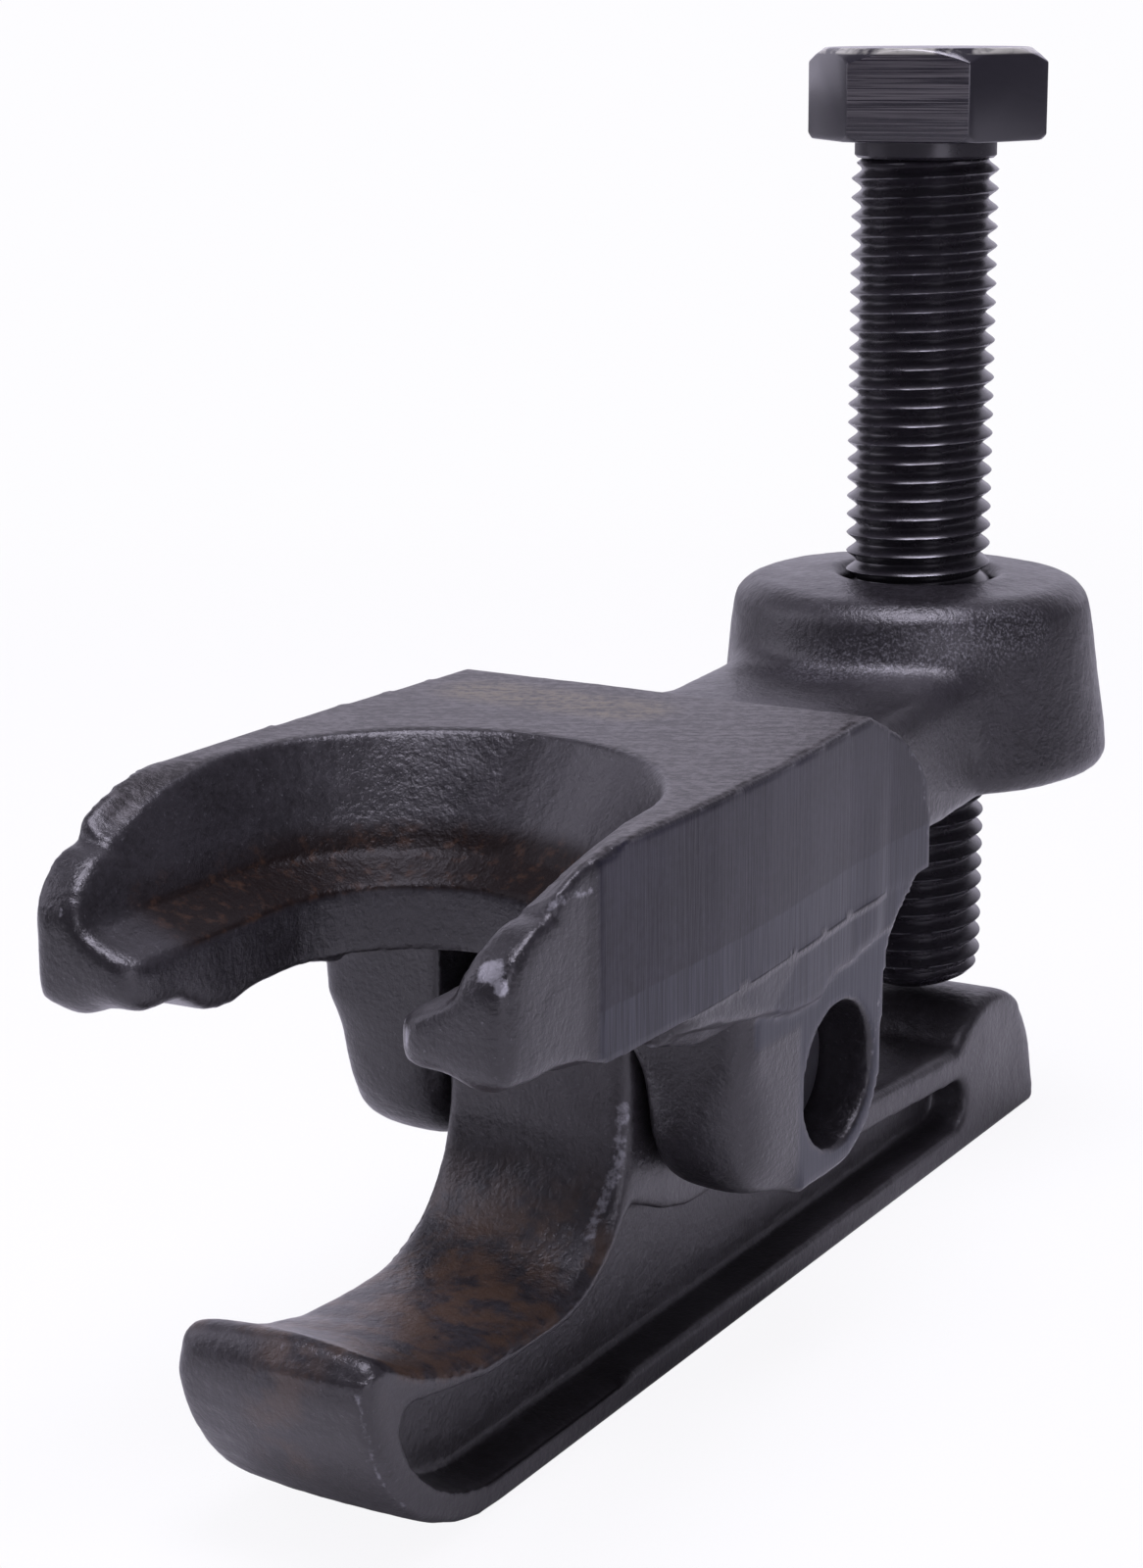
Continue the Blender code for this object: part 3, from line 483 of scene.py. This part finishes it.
def paint(mesh, name, values):
    layer = mesh.attributes.new(name, "FLOAT", "POINT")
    layer.data.foreach_set("value", np.clip(values, -1.0, 1.0).astype(np.float32))


def sharpness(mesh, edges, cell):
    """How convex the surface is about each vertex, 1 on a square corner and below 0 in a hollow."""
    places = places_of(mesh)
    bend = np.einsum("ij,ij->i", places - averaged(places, edges), normals_of(mesh)) / cell
    for _ in range(2):
        bend = averaged(bend, edges)
    return bend * 4.0


def away_from(places, path):
    """Each vertex's distance from a line through points, in metres."""
    nearest = np.full(len(places), 1.0)
    for start, end in zip(path[:-1], path[1:]):
        start, end = np.array(start), np.array(end)
        run = end - start
        share = np.clip((places - start) @ run / (run @ run), 0.0, 1.0)
        nearest = np.minimum(nearest, np.linalg.norm(places - start - share[:, None] * run, axis=1))
    return nearest


def swung(tree, pattern, width):
    """A pattern between 0 and 1 as one about 0, its whole swing multiplied by a width."""
    return calc(tree, "MULTIPLY", calc(tree, "SUBTRACT", pattern, 0.5), width)


def skin_tree():
    """Pushes a forging's skin in and out by noise of two sizes, less where it was ground or milled."""
    tree = bpy.data.node_groups.new("Forged skin", "GeometryNodeTree")
    for name, kind in (("Geometry", "NodeSocketGeometry"), ("Wave size", "NodeSocketFloat"),
                       ("Wave depth", "NodeSocketFloat"), ("Grain size", "NodeSocketFloat"),
                       ("Grain depth", "NodeSocketFloat"), ("Material", "NodeSocketMaterial")):
        tree.interface.new_socket(name, in_out="INPUT", socket_type=kind)
    tree.interface.new_socket("Geometry", in_out="OUTPUT", socket_type="NodeSocketGeometry")
    given = tree.nodes.new("NodeGroupInput").outputs
    place = tree.nodes.new("GeometryNodeInputPosition").outputs[0]
    push = 0.0
    for size, depth in (("Wave size", "Wave depth"), ("Grain size", "Grain depth")):
        pattern = noise(tree, place, calc(tree, "DIVIDE", 1.0, given[size]), 2.0)
        push = calc(tree, "ADD", push, swung(tree, pattern, given[depth]))
    machined = tree.nodes.new("GeometryNodeInputNamedAttribute")
    machined.data_type = "FLOAT"
    machined.inputs["Name"].default_value = "machined"
    push = calc(tree, "MULTIPLY", push, calc(tree, "SUBTRACT", 1.0, machined.outputs[0]))
    along = tree.nodes.new("ShaderNodeVectorMath")
    along.operation = "SCALE"
    tree.links.new(tree.nodes.new("GeometryNodeInputNormal").outputs[0], along.inputs[0])
    tree.links.new(push, along.inputs["Scale"])
    moved = tree.nodes.new("GeometryNodeSetPosition")
    tree.links.new(given["Geometry"], moved.inputs["Geometry"])
    tree.links.new(along.outputs[0], moved.inputs["Offset"])
    end_tree(tree, moved.outputs[0], given["Material"])
    return tree


def forging_group():
    """The blackened forging that fork and lever share: mottling, bright specks and the grain's height."""
    tree = bpy.data.node_groups.new("Blackened forging", "ShaderNodeTree")
    tree.interface.new_socket("Vector", in_out="INPUT", socket_type="NodeSocketVector")
    for name in ("Mottle", "Specks", "Grain"):
        tree.interface.new_socket(name, in_out="OUTPUT", socket_type="NodeSocketFloat")
    place = tree.nodes.new("NodeGroupInput").outputs["Vector"]
    broad = noise(tree, place, 60, 5, 0.62)
    fine = noise(tree, place, 2600, 4, 0.62)
    pits = noise(tree, place, 1350, 2, 0.5)
    results = tree.nodes.new("NodeGroupOutput")
    tree.links.new(step(tree, mix(tree, 0.35, broad, pits), 0.36, 0.66), results.inputs["Mottle"])
    tree.links.new(step(tree, fine, 0.62, 0.74), results.inputs["Specks"])
    tree.links.new(mix(tree, 0.55, fine, pits), results.inputs["Grain"])
    return tree


def group_in(tree, group, **values):
    node = tree.nodes.new("ShaderNodeGroup")
    node.node_tree = group
    for name, value in values.items():
        link(tree, value, node.inputs[name])
    return node.outputs


def wear_and_highlight_group():
    """Worn metal and painted highlights: corners by their painted sharpness, broken up by noise, and
    painted marks, ragged, some of them wear and some painted highlights.
    """
    tree = bpy.data.node_groups.new("Worn metal and painted highlights", "ShaderNodeTree")
    for name, kind in (("Vector", "NodeSocketVector"), ("Sharpness", "NodeSocketFloat"),
                       ("Start", "NodeSocketFloat"), ("Marks", "NodeSocketFloat")):
        tree.interface.new_socket(name, in_out="INPUT", socket_type=kind)
    tree.interface.new_socket("Mask", in_out="OUTPUT", socket_type="NodeSocketFloat")
    given = tree.nodes.new("NodeGroupInput").outputs
    fine = swung(tree, noise(tree, given["Vector"], 480, 4, 0.65), 1.6)
    broad = swung(tree, noise(tree, given["Vector"], 70, 2), 1.2)
    reach = calc(tree, "ADD", given["Sharpness"], calc(tree, "ADD", fine, broad))
    corners = step(tree, calc(tree, "SUBTRACT", reach, given["Start"]), 0.0, 0.35)
    ragged = swung(tree, noise(tree, given["Vector"], 1300, 3, 0.6), 1.3)
    marks = step(tree, calc(tree, "ADD", given["Marks"], ragged), 0.30, 0.80)
    mask = calc(tree, "MAXIMUM", calc(tree, "MULTIPLY", corners, 0.5), marks)
    tree.links.new(mask, tree.nodes.new("NodeGroupOutput").inputs["Mask"])
    return tree


def painted(tree, name):
    node = tree.nodes.new("ShaderNodeAttribute")
    node.attribute_name = name
    return node.outputs["Fac"]


def lever_material():
    material = bpy.data.materials.new("Lever forging")
    material.use_nodes = True
    tree = material.node_tree
    shader = tree.nodes["Principled BSDF"]
    place = object_place(tree)
    forging = group_in(tree, forging_skin, Vector=place)
    colour = mix(tree, forging["Mottle"], *LEVER_BLACKS)
    colour = mix(tree, calc(tree, "MULTIPLY", forging["Specks"], SPECK_SHARE), colour, LEVER_SPECK)
    patches = step(tree, noise(tree, place, 260, 4, 0.65), 0.4, 0.62)
    colour = mix(tree, calc(tree, "MULTIPLY", painted(tree, "rust"), patches), colour, LEVER_RUST)
    # Wear on corners and flash, and the painted highlight along the jaw's rim.
    bright = group_in(tree, wear_and_highlights, Vector=place, Sharpness=painted(tree, "sharpness"),
                      Start=WEAR_START, Marks=painted(tree, "bright"))["Mask"]
    colour = mix(tree, bright, colour, LEVER_WORN_AND_HIGHLIGHT)
    link(tree, colour, shader.inputs["Base Color"])
    link(tree, mix(tree, forging["Mottle"], 0.30, 0.42), shader.inputs["Roughness"])
    link(tree, calc(tree, "MULTIPLY", bright, 0.5), shader.inputs["Metallic"])
    shader.inputs["Specular IOR Level"].default_value = 0.5
    link(tree, bump(tree, forging["Grain"], 0.00018, 0.7), shader.inputs["Normal"])
    return material


forging_skin = forging_group()
wear_and_highlights = wear_and_highlight_group()
forged_skin = skin_tree()
lever = cells_of("lever", "lever_forging", LEVER_CELL)
mesh = lever.data
links = edges_of(mesh)
places = places_of(mesh)
flat_foot = smooth(places[:, 2], 0.0012, 0.0004)
places = relax(places, links, 0.5 * (1 - 0.8 * flat_foot), LEVER_RELAX)
x, y, z = places.T
normal = normals_of(mesh)
aside = np.abs(x) / LEVER_HALF_WIDTH

# The jaw and the toe's front are crowned across the lever, and the ends of toe and pad well rounded.
jaw = smooth(normal[:, 2], 0.1, 0.5) * smooth(y, -0.079, -0.0835) * smooth(z, 0.024, 0.0185)
places[:, 2] += jaw * (JAW_CENTRE_RISE - (JAW_CENTRE_RISE + JAW_EDGE_DROP) * aside ** 2)
toe = smooth(y, -0.106, -0.1185) * smooth(normal[:, 2], 0.5, 0.1)
places += normal * (toe * TOE_CROWN * (1 - aside ** 2))[:, None]
lip_end = smooth(z, 0.0150, 0.0175) * smooth(y, -0.1160, -0.1180) * smooth(x, 0.002, -0.006)
pad_end = smooth(y, 0.0085, 0.0105) * smooth(z, 0.0015, 0.004)
places = relax(places, links, 0.5 * lip_end, TOE_RELAX)
places = relax(places, links, 0.5 * pad_end, PAD_RELAX)
places = relax(places, links, 0.4 * (1 - flat_foot), 1)
put_back(mesh, places)

# Where the foot is ground, corners are worn, the jaw and toe rusty, the flash bright from wear, and the
# jaw's rim given a painted highlight.
paint(mesh, "machined", flat_foot)
paint(mesh, "sharpness", sharpness(mesh, links, LEVER_CELL))
in_jaw = smooth(y, -0.080, -0.086) * smooth(y, -0.1215, -0.1195) * smooth(normal[:, 2], -0.1, 0.4)
in_jaw *= smooth(z, 0.0105, 0.0125)
on_toe = smooth(away_from(places, TOE_RUST), 0.0045, 0.0015)
paint(mesh, "rust", np.maximum(0.75 * in_jaw, 0.5 * on_toe))
flash = np.zeros(len(places))
for path in TOE_FLASHES:
    flash = np.maximum(flash, smooth(away_from(places, path), 0.0005, 0.0001))
# Painted highlight along the jaw's rim, put into the same bright marks as the flash lines.
jaw_rim = smooth(away_from(places, JAW_RIM), 0.0011, 0.0004)
paint(mesh, "bright", np.maximum(0.45 * flash, 0.55 * jaw_rim))
mesh.materials.clear()
made_by(forged_skin, lever, {**FORGED_GRAIN, "Material": lever_material()})
lever.data.shade_smooth()
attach(lever, "lever_body")
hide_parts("lever")

# Fork: one drop forging with the screw's boss, the ears for the pin and the open mouth. Its top and
# its outer sides are ground, the ears milled, the mouth and boss left as forged.

FORK_CELL = 0.00051
FORK_RELAX = 4
TIP_RELAX = 10
EAR_RELAX = 150
NECK_RELAX = 70
# Heights of the prongs' tops along Y, at their outer side and at the mouth.
TOP_OUTSIDE = ((-0.1216, 0.0530), (-0.1200, 0.0548), (-0.1180, 0.0563), (-0.1160, 0.0570),
               (-0.1148, 0.0572), (-0.1143, 0.0586), (-0.1120, 0.0596), (-0.1100, 0.0602),
               (-0.1060, 0.0609), (-0.1040, 0.0610))
TOP_INSIDE = ((-0.1216, 0.0530), (-0.1200, 0.0545), (-0.1174, 0.0562), (-0.1120, 0.0580),
              (-0.1053, 0.0600), (-0.1000, 0.0609), (-0.0980, 0.0610))
TIP_START = -0.1094         # the ground sides end here, and the forged tips stand back from them
TIP_STANDS_BACK = 0.00035
UNDER_TIP_DROP = 0.0018
TIP_FOOT_DROP = 0.0013
TRIM_LINE = 0.0480          # height at which the two halves of the ground side meet
# The ground side's lower edge and its half width, along Y, and the left ear's flare, by height.
SIDE_FOOT = ((-0.0933, 0.0415), (-0.0888, 0.0406), (-0.0839, 0.0395), (-0.0787, 0.0387),
             (-0.0757, 0.0377), (-0.0729, 0.0373), (-0.0680, 0.0370), (-0.0659, 0.0381),
             (-0.0635, 0.0386), (-0.0609, 0.0386), (-0.0572, 0.0393), (-0.0500, 0.0398))
SIDE_WIDTH = ((-0.0976, 0.0241), (-0.0832, 0.0239), (-0.0715, 0.0232), (-0.0613, 0.0223),
              (-0.0446, 0.0219))
LEFT_EAR_FLARE = ((0.0240, 0.0009), (0.0304, 0.0014), (0.0340, 0.0018), (0.0368, 0.0020),
                  (0.0378, 0.0021), (0.0394, 0.0))
BOSS_LEAN = ((0.043, 0.0002), (0.063, 0.0007))
BOSS_LEANS_TO = (-0.865, -0.5, 0.0)
# Path of a painted highlight along the heel's chamfered rim.
HEEL_RIM = ((0.0219, -0.0494, 0.0566), (0.0219, -0.0465, 0.0547), (0.0219, -0.0457, 0.0530),
            (0.0219, -0.0447, 0.0496), (0.0219, -0.0443, 0.0471), (0.0219, -0.0444, 0.0440),
            (0.0218, -0.0466, 0.0429), (0.0218, -0.0508, 0.0400), (0.0218, -0.0525, 0.0388),
            (0.0218, -0.0538, 0.0348), (0.0218, -0.0553, 0.0281))
# Path of painted highlights: glints on the boss's shoulder.
BOSS_SHINE = ((-0.0014, -0.0223, 0.0558), (0.0050, -0.0193, 0.0580), (0.0138, -0.0141, 0.0600),
              (0.0172, -0.0092, 0.0606))
# Spots at the prongs' tips, from wear and also painted as highlights on their rounded corners.
TIP_WEAR_AND_HIGHLIGHT_SPOTS = (((0.0210, -0.1205, 0.0540), 0.0016), ((0.0222, -0.1210, 0.0530), 0.0010),
              ((-0.0198, -0.1211, 0.0529), 0.0004))
WORN_LINES = (((0.0225, -0.1146, 0.0578), (0.0237, -0.1137, 0.0584), (0.0238, -0.1102, 0.0579)),
              ((0.0137, -0.1213, 0.0500), (0.0137, -0.1213, 0.0470)))
STAIN = ((-0.0150, -0.0650, 0.061), (0.0010, -0.0655, 0.061))
FORK_BLACKS = ((0.0095, 0.0085, 0.0098), (0.0200, 0.0185, 0.0215))
FORK_SPECK = (0.15, 0.15, 0.16)
FORK_WORN_AND_HIGHLIGHT = (0.24, 0.24, 0.255)
SCUFFED_TOP = ((0.006, 0.0045, 0.0045), (0.056, 0.052, 0.053))
STAIN_COLOUR = (0.085, 0.070, 0.040)
UPPER_SIDE = ((0.0090, 0.0085, 0.0125), (0.0190, 0.0180, 0.0260))
GROUND_SIDE = ((0.015, 0.0155, 0.021), (0.034, 0.035, 0.046))
MILLED_EAR = ((0.032, 0.034, 0.043), (0.041, 0.043, 0.054))
RUSTY_LEDGE = ((0.0075, 0.0045, 0.0040), (0.030, 0.016, 0.010))
SCUFFS_TURNED = math.radians(-30)


def along(value, points):
    """What a line through points of (value, result) gives at each value."""
    return np.interp(value, [p[0] for p in points], [p[1] for p in points])


def fork_material():
    material = bpy.data.materials.new("Fork forging")
    material.use_nodes = True
    tree = material.node_tree
    shader = tree.nodes["Principled BSDF"]
    place = object_place(tree)
    forging = group_in(tree, forging_skin, Vector=place)
    colour = mix(tree, forging["Mottle"], *FORK_BLACKS)
    colour = mix(tree, calc(tree, "MULTIPLY", forging["Specks"], SPECK_SHARE), colour, FORK_SPECK)

    top = painted(tree, "top")
    turned = tree.nodes.new("ShaderNodeVectorRotate")
    turned.rotation_type = "Z_AXIS"
    turned.inputs["Angle"].default_value = SCUFFS_TURNED
    tree.links.new(place, turned.inputs["Vector"])
    stretched = tree.nodes.new("ShaderNodeVectorMath")
    stretched.operation = "MULTIPLY"
    stretched.inputs[1].default_value = (160.0, 1300.0, 200.0)
    tree.links.new(turned.outputs[0], stretched.inputs[0])
    scuffs = noise(tree, stretched.outputs[0], 1.0, 5, 0.65)
    scuffs = mix(tree, 0.6, scuffs, noise(tree, place, 1300, 4, 0.7))
    scuffed = mix(tree, step(tree, scuffs, 0.44, 0.58), *SCUFFED_TOP)
    stained = calc(tree, "MULTIPLY", painted(tree, "stain"), step(tree, scuffs, 0.40, 0.60))
    colour = mix(tree, top, colour, mix(tree, stained, scuffed, STAIN_COLOUR))

    side, milled = painted(tree, "side"), painted(tree, "milled")
    marks = noise(tree, object_place(tree, (2600.0, 2600.0, 110.0)), 1.0, 4, 0.6)
    ragged = swung(tree, noise(tree, place, 300, 3), 0.5)
    trim_at = MM_A_METRE * TRIM_LINE
    z = coordinates(tree)[2]
    below_trim = step(tree, calc(tree, "ADD", z, ragged), trim_at + 0.15, trim_at - 0.15)
    upper = mix(tree, forging["Mottle"], *UPPER_SIDE)
    lower = mix(tree, step(tree, marks, 0.36, 0.66), *GROUND_SIDE)
    colour = mix(tree, side, colour, mix(tree, below_trim, upper, lower))
    colour = mix(tree, milled, colour, mix(tree, step(tree, marks, 0.3, 0.7), *MILLED_EAR))

    rust = painted(tree, "rust")
    grit = noise(tree, place, 700, 4, 0.65)
    colour = mix(tree, rust, colour, mix(tree, step(tree, grit, 0.50, 0.70), *RUSTY_LEDGE))
    bright = group_in(tree, wear_and_highlights, Vector=place, Sharpness=painted(tree, "sharpness"),
                      Start=WEAR_START, Marks=painted(tree, "bright"))["Mask"]
    # Painted highlight: glints on the boss's shoulder, in the same colour as the wear.
    glints = step(tree, noise(tree, place, 3600, 2, 0.6), 0.45, 0.72)
    glints = calc(tree, "MULTIPLY", painted(tree, "shine"), glints)
    bright = calc(tree, "MAXIMUM", bright, calc(tree, "MULTIPLY", glints, 0.42))
    colour = mix(tree, bright, colour, FORK_WORN_AND_HIGHLIGHT)
    link(tree, colour, shader.inputs["Base Color"])

    machined = calc(tree, "MAXIMUM", top, calc(tree, "MAXIMUM", side, milled))
    roughness = mix(tree, machined, mix(tree, forging["Mottle"], 0.28, 0.40), 0.40)
    link(tree, roughness, shader.inputs["Roughness"])
    metallic = mix(tree, bright, calc(tree, "MULTIPLY", machined, 0.05), 0.55)
    link(tree, metallic, shader.inputs["Metallic"])
    gloss = mix(tree, calc(tree, "MAXIMUM", side, milled), 0.5, 0.20)
    gloss = mix(tree, top, gloss, 0.38)
    link(tree, mix(tree, rust, gloss, 0.12), shader.inputs["Specular IOR Level"])
    height = mix(tree, machined, forging["Grain"], calc(tree, "MULTIPLY", marks, 0.3))
    height = mix(tree, top, height, scuffs)
    link(tree, bump(tree, height, 0.00019, 0.75), shader.inputs["Normal"])
    return material


fork = cells_of("fork", "fork_forging", FORK_CELL)
mesh = fork.data
links = edges_of(mesh)
places = places_of(mesh)
normal = normals_of(mesh)
x, y, z = places.T
aside = np.abs(x)

# Where the top and the outer sides are ground, down to the side's wavy foot, and the ears milled.
behind_tip = smooth(y, TIP_START - 0.0002, TIP_START + 0.0002)
ground_top = smooth(normal[:, 2], 0.9, 0.98) * smooth(z, 0.0570, 0.0578) * smooth(y, -0.0215, -0.0235)
outer = smooth(normal[:, 0] * np.sign(x), 0.90, 0.97) * smooth(aside, 0.0205, 0.0212)
outer *= smooth(y, -0.0410, -0.0430)
foot = along(y, SIDE_FOOT)
side = outer * smooth(z, foot, foot + 0.0003) * behind_tip
milled = outer * smooth(z, foot, foot - 0.0004)
milled *= np.maximum(smooth(y, -0.0713, -0.0701), smooth(z, 0.0350, 0.0358))
machined = np.maximum(ground_top, outer * behind_tip)

# The sides are filled out down to their foot, the tips stand back, and the prongs' tops slant inwards.
fill = smooth(aside, 0.0208, 0.0213) * smooth(z, foot, foot + 0.0005) * smooth(z, 0.0560, 0.0500)
fill *= smooth(y, -0.0960, -0.0935) * smooth(y, -0.0530, -0.0560)
places[:, 0] += np.sign(x) * fill * np.maximum(along(y, SIDE_WIDTH) - aside, 0.0)
back = smooth(aside, 0.021, 0.0235) * smooth(y, TIP_START, TIP_START - 0.0004)
places[:, 0] -= np.sign(x) * TIP_STANDS_BACK * back
outside = along(y, TOP_OUTSIDE)
lower = np.minimum(along(y, TOP_INSIDE) - outside, 0.0) * smooth(aside, 0.0232, 0.0206)
lower *= smooth(z, outside - 0.008, outside - 0.0002)
places[:, 2] += lower * smooth(y, -0.0975, -0.0985)

# The boss leans a little off the screw's axis, from its foot up.
lean = along(z, BOSS_LEAN) * smooth(np.hypot(x, y), 0.0110, 0.0150) * smooth(y, -0.030, -0.020)
places += lean[:, None] * np.array(BOSS_LEANS_TO)
places = relax(places, links, 0.5 * (1 - 0.6 * machined), FORK_RELAX)

# The lip hangs lower under the tips; tips, ear ends and neck are rounded most; the left ear flares.
x, y, z = places.T
aside = np.abs(x)
under_tip = smooth(y, -0.1040, -0.1120) * smooth(z, 0.0480, 0.0440) * smooth(aside, 0.0230, 0.0190)
places[:, 2] -= UNDER_TIP_DROP * under_tip * smooth(y, -0.1216, -0.1190)
tip_foot = smooth(aside, 0.0160, 0.0200) * smooth(z, 0.0500, 0.0440) * smooth(y, -0.1110, -0.1160)
places[:, 2] -= TIP_FOOT_DROP * tip_foot
tip = smooth(y, -0.1125, -0.1160)
ear_end = smooth(y, -0.0700, -0.0718) * smooth(z, 0.0345, 0.0300)
places = relax(places, links, 0.5 * np.maximum(tip, under_tip), TIP_RELAX)
places = relax(places, links, 0.5 * ear_end, EAR_RELAX)
neck = smooth(y, -0.0370, -0.0330) * smooth(np.hypot(x, y), 0.0165, 0.0195) * smooth(z, 0.0615, 0.0590)
neck *= smooth(z, 0.0470, 0.0500)
places = relax(places, links, 0.5 * neck, NECK_RELAX)
left_ear = smooth(x, -0.0150, -0.0210) * smooth(y, -0.0600, -0.0800) * smooth(y, -0.0835, -0.0815)
places[:, 0] -= left_ear * along(z, LEFT_EAR_FLARE)
put_back(mesh, places)

# What the material reads: the machined faces, the rusty ledge, the stain, worn spots and bright lines, and
# painted highlights on the tips' corners, the heel's rim and the boss's shoulder.
normal = normals_of(mesh)
x, y, z = places.T
paint(mesh, "machined", machined)
paint(mesh, "top", ground_top)
paint(mesh, "side", side)
paint(mesh, "milled", milled)
paint(mesh, "sharpness", sharpness(mesh, links, FORK_CELL))
ledge = smooth(normal[:, 2], 0.15, 0.55) * smooth(z, 0.0545, 0.0525) * smooth(z, 0.0480, 0.0492)
ledge *= smooth(y, -0.1165, -0.1120) * smooth(np.abs(x), 0.0212, 0.0205) * smooth(y, -0.070, -0.074)
paint(mesh, "rust", ledge)
paint(mesh, "stain", smooth(away_from(places, STAIN), 0.0060, 0.0020) * ground_top)
# Bright marks: wear, with painted highlights on the tips' corners.
wear_and_highlight_marks = np.zeros(len(places))
for centre, reach in TIP_WEAR_AND_HIGHLIGHT_SPOTS:
    spot = smooth(np.linalg.norm(places - np.array(centre), axis=1), reach, 0.3 * reach)
    wear_and_highlight_marks = np.maximum(wear_and_highlight_marks, spot)
for path in WORN_LINES:
    wear_and_highlight_marks = np.maximum(wear_and_highlight_marks, 0.6 * smooth(away_from(places, path), 0.0007, 0.0002))
side_foot = outer * smooth(np.abs(z - foot), 0.00045, 0.0001)
# Painted highlight along the heel's chamfered rim.
heel = smooth(away_from(places, HEEL_RIM), 0.0006, 0.0002)
paint(mesh, "bright", np.maximum(wear_and_highlight_marks, np.maximum(0.40 * side_foot, 0.35 * heel)))
# Where the painted glints lie on the boss's shoulder.
paint(mesh, "shine", smooth(away_from(places, BOSS_SHINE), 0.0050, 0.0010))
mesh.materials.clear()
made_by(forged_skin, fork, {**FORGED_GRAIN, "Material": fork_material()})
fork.data.shade_smooth()
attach(fork, "fork_body")
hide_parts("fork")

# Pivot pin: a plain blackened steel pin, pressed into the fork's ears below their faces, on which the
# lever turns.

PIN_CHAMFER = 0.0004
PIN_GREYS = ((0.03, 0.03, 0.034), (0.07, 0.07, 0.078))


def pin_material():
    material = bpy.data.materials.new("Pin")
    material.use_nodes = True
    tree = material.node_tree
    shader = tree.nodes["Principled BSDF"]
    link(tree, mix(tree, noise(tree, object_place(tree), 900, 4), *PIN_GREYS), shader.inputs["Base Color"])
    shader.inputs["Roughness"].default_value = 0.4
    shader.inputs["Metallic"].default_value = 0.3
    return material


pin = welded_copy("pivot_pin", "pin")
pin.data.materials.append(pin_material())
soften = pin.modifiers.new("Chamfer", "BEVEL")
soften.width = PIN_CHAMFER
soften.segments = 2
soften.limit_method = "ANGLE"
soften.angle_limit = math.radians(40)
evaluated(pin)
pin.data.shade_smooth()
pin.data.set_sharp_from_angle(angle=math.radians(32))
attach(pin, "fork_body")
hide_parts("pivot_pin")

# Stage: a white floor that runs out of sight, soft lamps and a white room, none of it part of the tool.
# The camera looks through the floor and sees only a trace of its shadow, so that a lever lowered below
# it isn't hidden.

FLOOR_SIZE = 60.0
FLOOR_DROP = 0.0002
FLOOR_WHITE = (0.9, 0.9, 0.9)
FLOOR_CLEAR = 0.93          # share that the camera looks through near the tool, and all of it further out
ALL_CLEAR_FROM = (200, 500)     # millimetres from the screw's axis
ROOM_TINT = (0.98, 0.93, 1.12)
ROOM_STRENGTH = 0.19
ROOM_SEEN = (0.985, 0.98, 1.0)
BACKDROP_EDGE = (0.52, 0.86)    # how far round the camera's heading the backdrop reaches
LAMPS_AIM = (0.0, -0.055, 0.05)


def floor_material():
    material = bpy.data.materials.new("White floor")
    material.use_nodes = True
    tree = material.node_tree
    shader = tree.nodes["Principled BSDF"]
    link(tree, FLOOR_WHITE, shader.inputs["Base Color"])
    shader.inputs["Roughness"].default_value = 0.9
    shader.inputs["Specular IOR Level"].default_value = 0.0
    clear = tree.nodes.new("ShaderNodeBsdfTransparent")
    far = off_axis(tree, *coordinates(tree)[:2])
    share = mix(tree, step(tree, far, *ALL_CLEAR_FROM), FLOOR_CLEAR, 1.0)
    seen = calc(tree, "MULTIPLY", tree.nodes.new("ShaderNodeLightPath").outputs["Is Camera Ray"], share)
    over = tree.nodes.new("ShaderNodeMixShader")
    tree.links.new(seen, over.inputs[0])
    tree.links.new(shader.outputs[0], over.inputs[1])
    tree.links.new(clear.outputs[0], over.inputs[2])
    tree.links.new(over.outputs[0], tree.nodes["Material Output"].inputs["Surface"])
    return material


def soft_lamp(name, place, size, power):
    data = bpy.data.lights.new(name, "AREA")
    data.shape = "RECTANGLE"
    data.size, data.size_y = size
    data.energy = power
    data.color = ROOM_TINT
    lamp = bpy.data.objects.new(name, data)
    aim = (Vector(LAMPS_AIM) - Vector(place)).to_track_quat("-Z", "Y")
    lamp.matrix_world = Matrix.Translation(place) @ aim.to_matrix().to_4x4()
    scene.collection.objects.link(lamp)


shape = bmesh.new()
bmesh.ops.create_grid(shape, x_segments=1, y_segments=1, size=FLOOR_SIZE / 2)
floor_mesh = bpy.data.meshes.new("floor")
shape.to_mesh(floor_mesh)
shape.free()
floor_mesh.transform(Matrix.Translation((0.0, 0.0, -FLOOR_DROP)))
floor_mesh.materials.append(floor_material())
floor = new_piece("floor", floor_mesh)

world = bpy.data.worlds.new("White room")
world.use_nodes = True
tree = world.node_tree
back = tree.nodes["Background"]
seen = tree.nodes.new("ShaderNodeLightPath").outputs["Is Camera Ray"]
towards = tree.nodes.new("ShaderNodeVectorMath")
towards.operation = "DOT_PRODUCT"
towards.inputs[1].default_value = (math.sin(CAMERA_HEADING), math.cos(CAMERA_HEADING), 0.0)
tree.links.new(tree.nodes.new("ShaderNodeTexCoord").outputs["Generated"], towards.inputs[0])
backdrop = step(tree, towards.outputs["Value"], *BACKDROP_EDGE)
link(tree, mix(tree, seen, mix(tree, backdrop, ROOM_STRENGTH, 1.0), 1.0), back.inputs["Strength"])
link(tree, mix(tree, seen, ROOM_TINT, ROOM_SEEN), back.inputs["Color"])
scene.world = world
soft_lamp("Lamp above", (0.06, -0.12, 0.75), (0.40, 0.40), 5.5)
soft_lamp("Lamp left", (-0.65, -0.30, 0.40), (0.45, 0.6), 1.6)
soft_lamp("Lamp right", (0.60, -0.50, 0.25), (0.35, 0.35), 1.25)
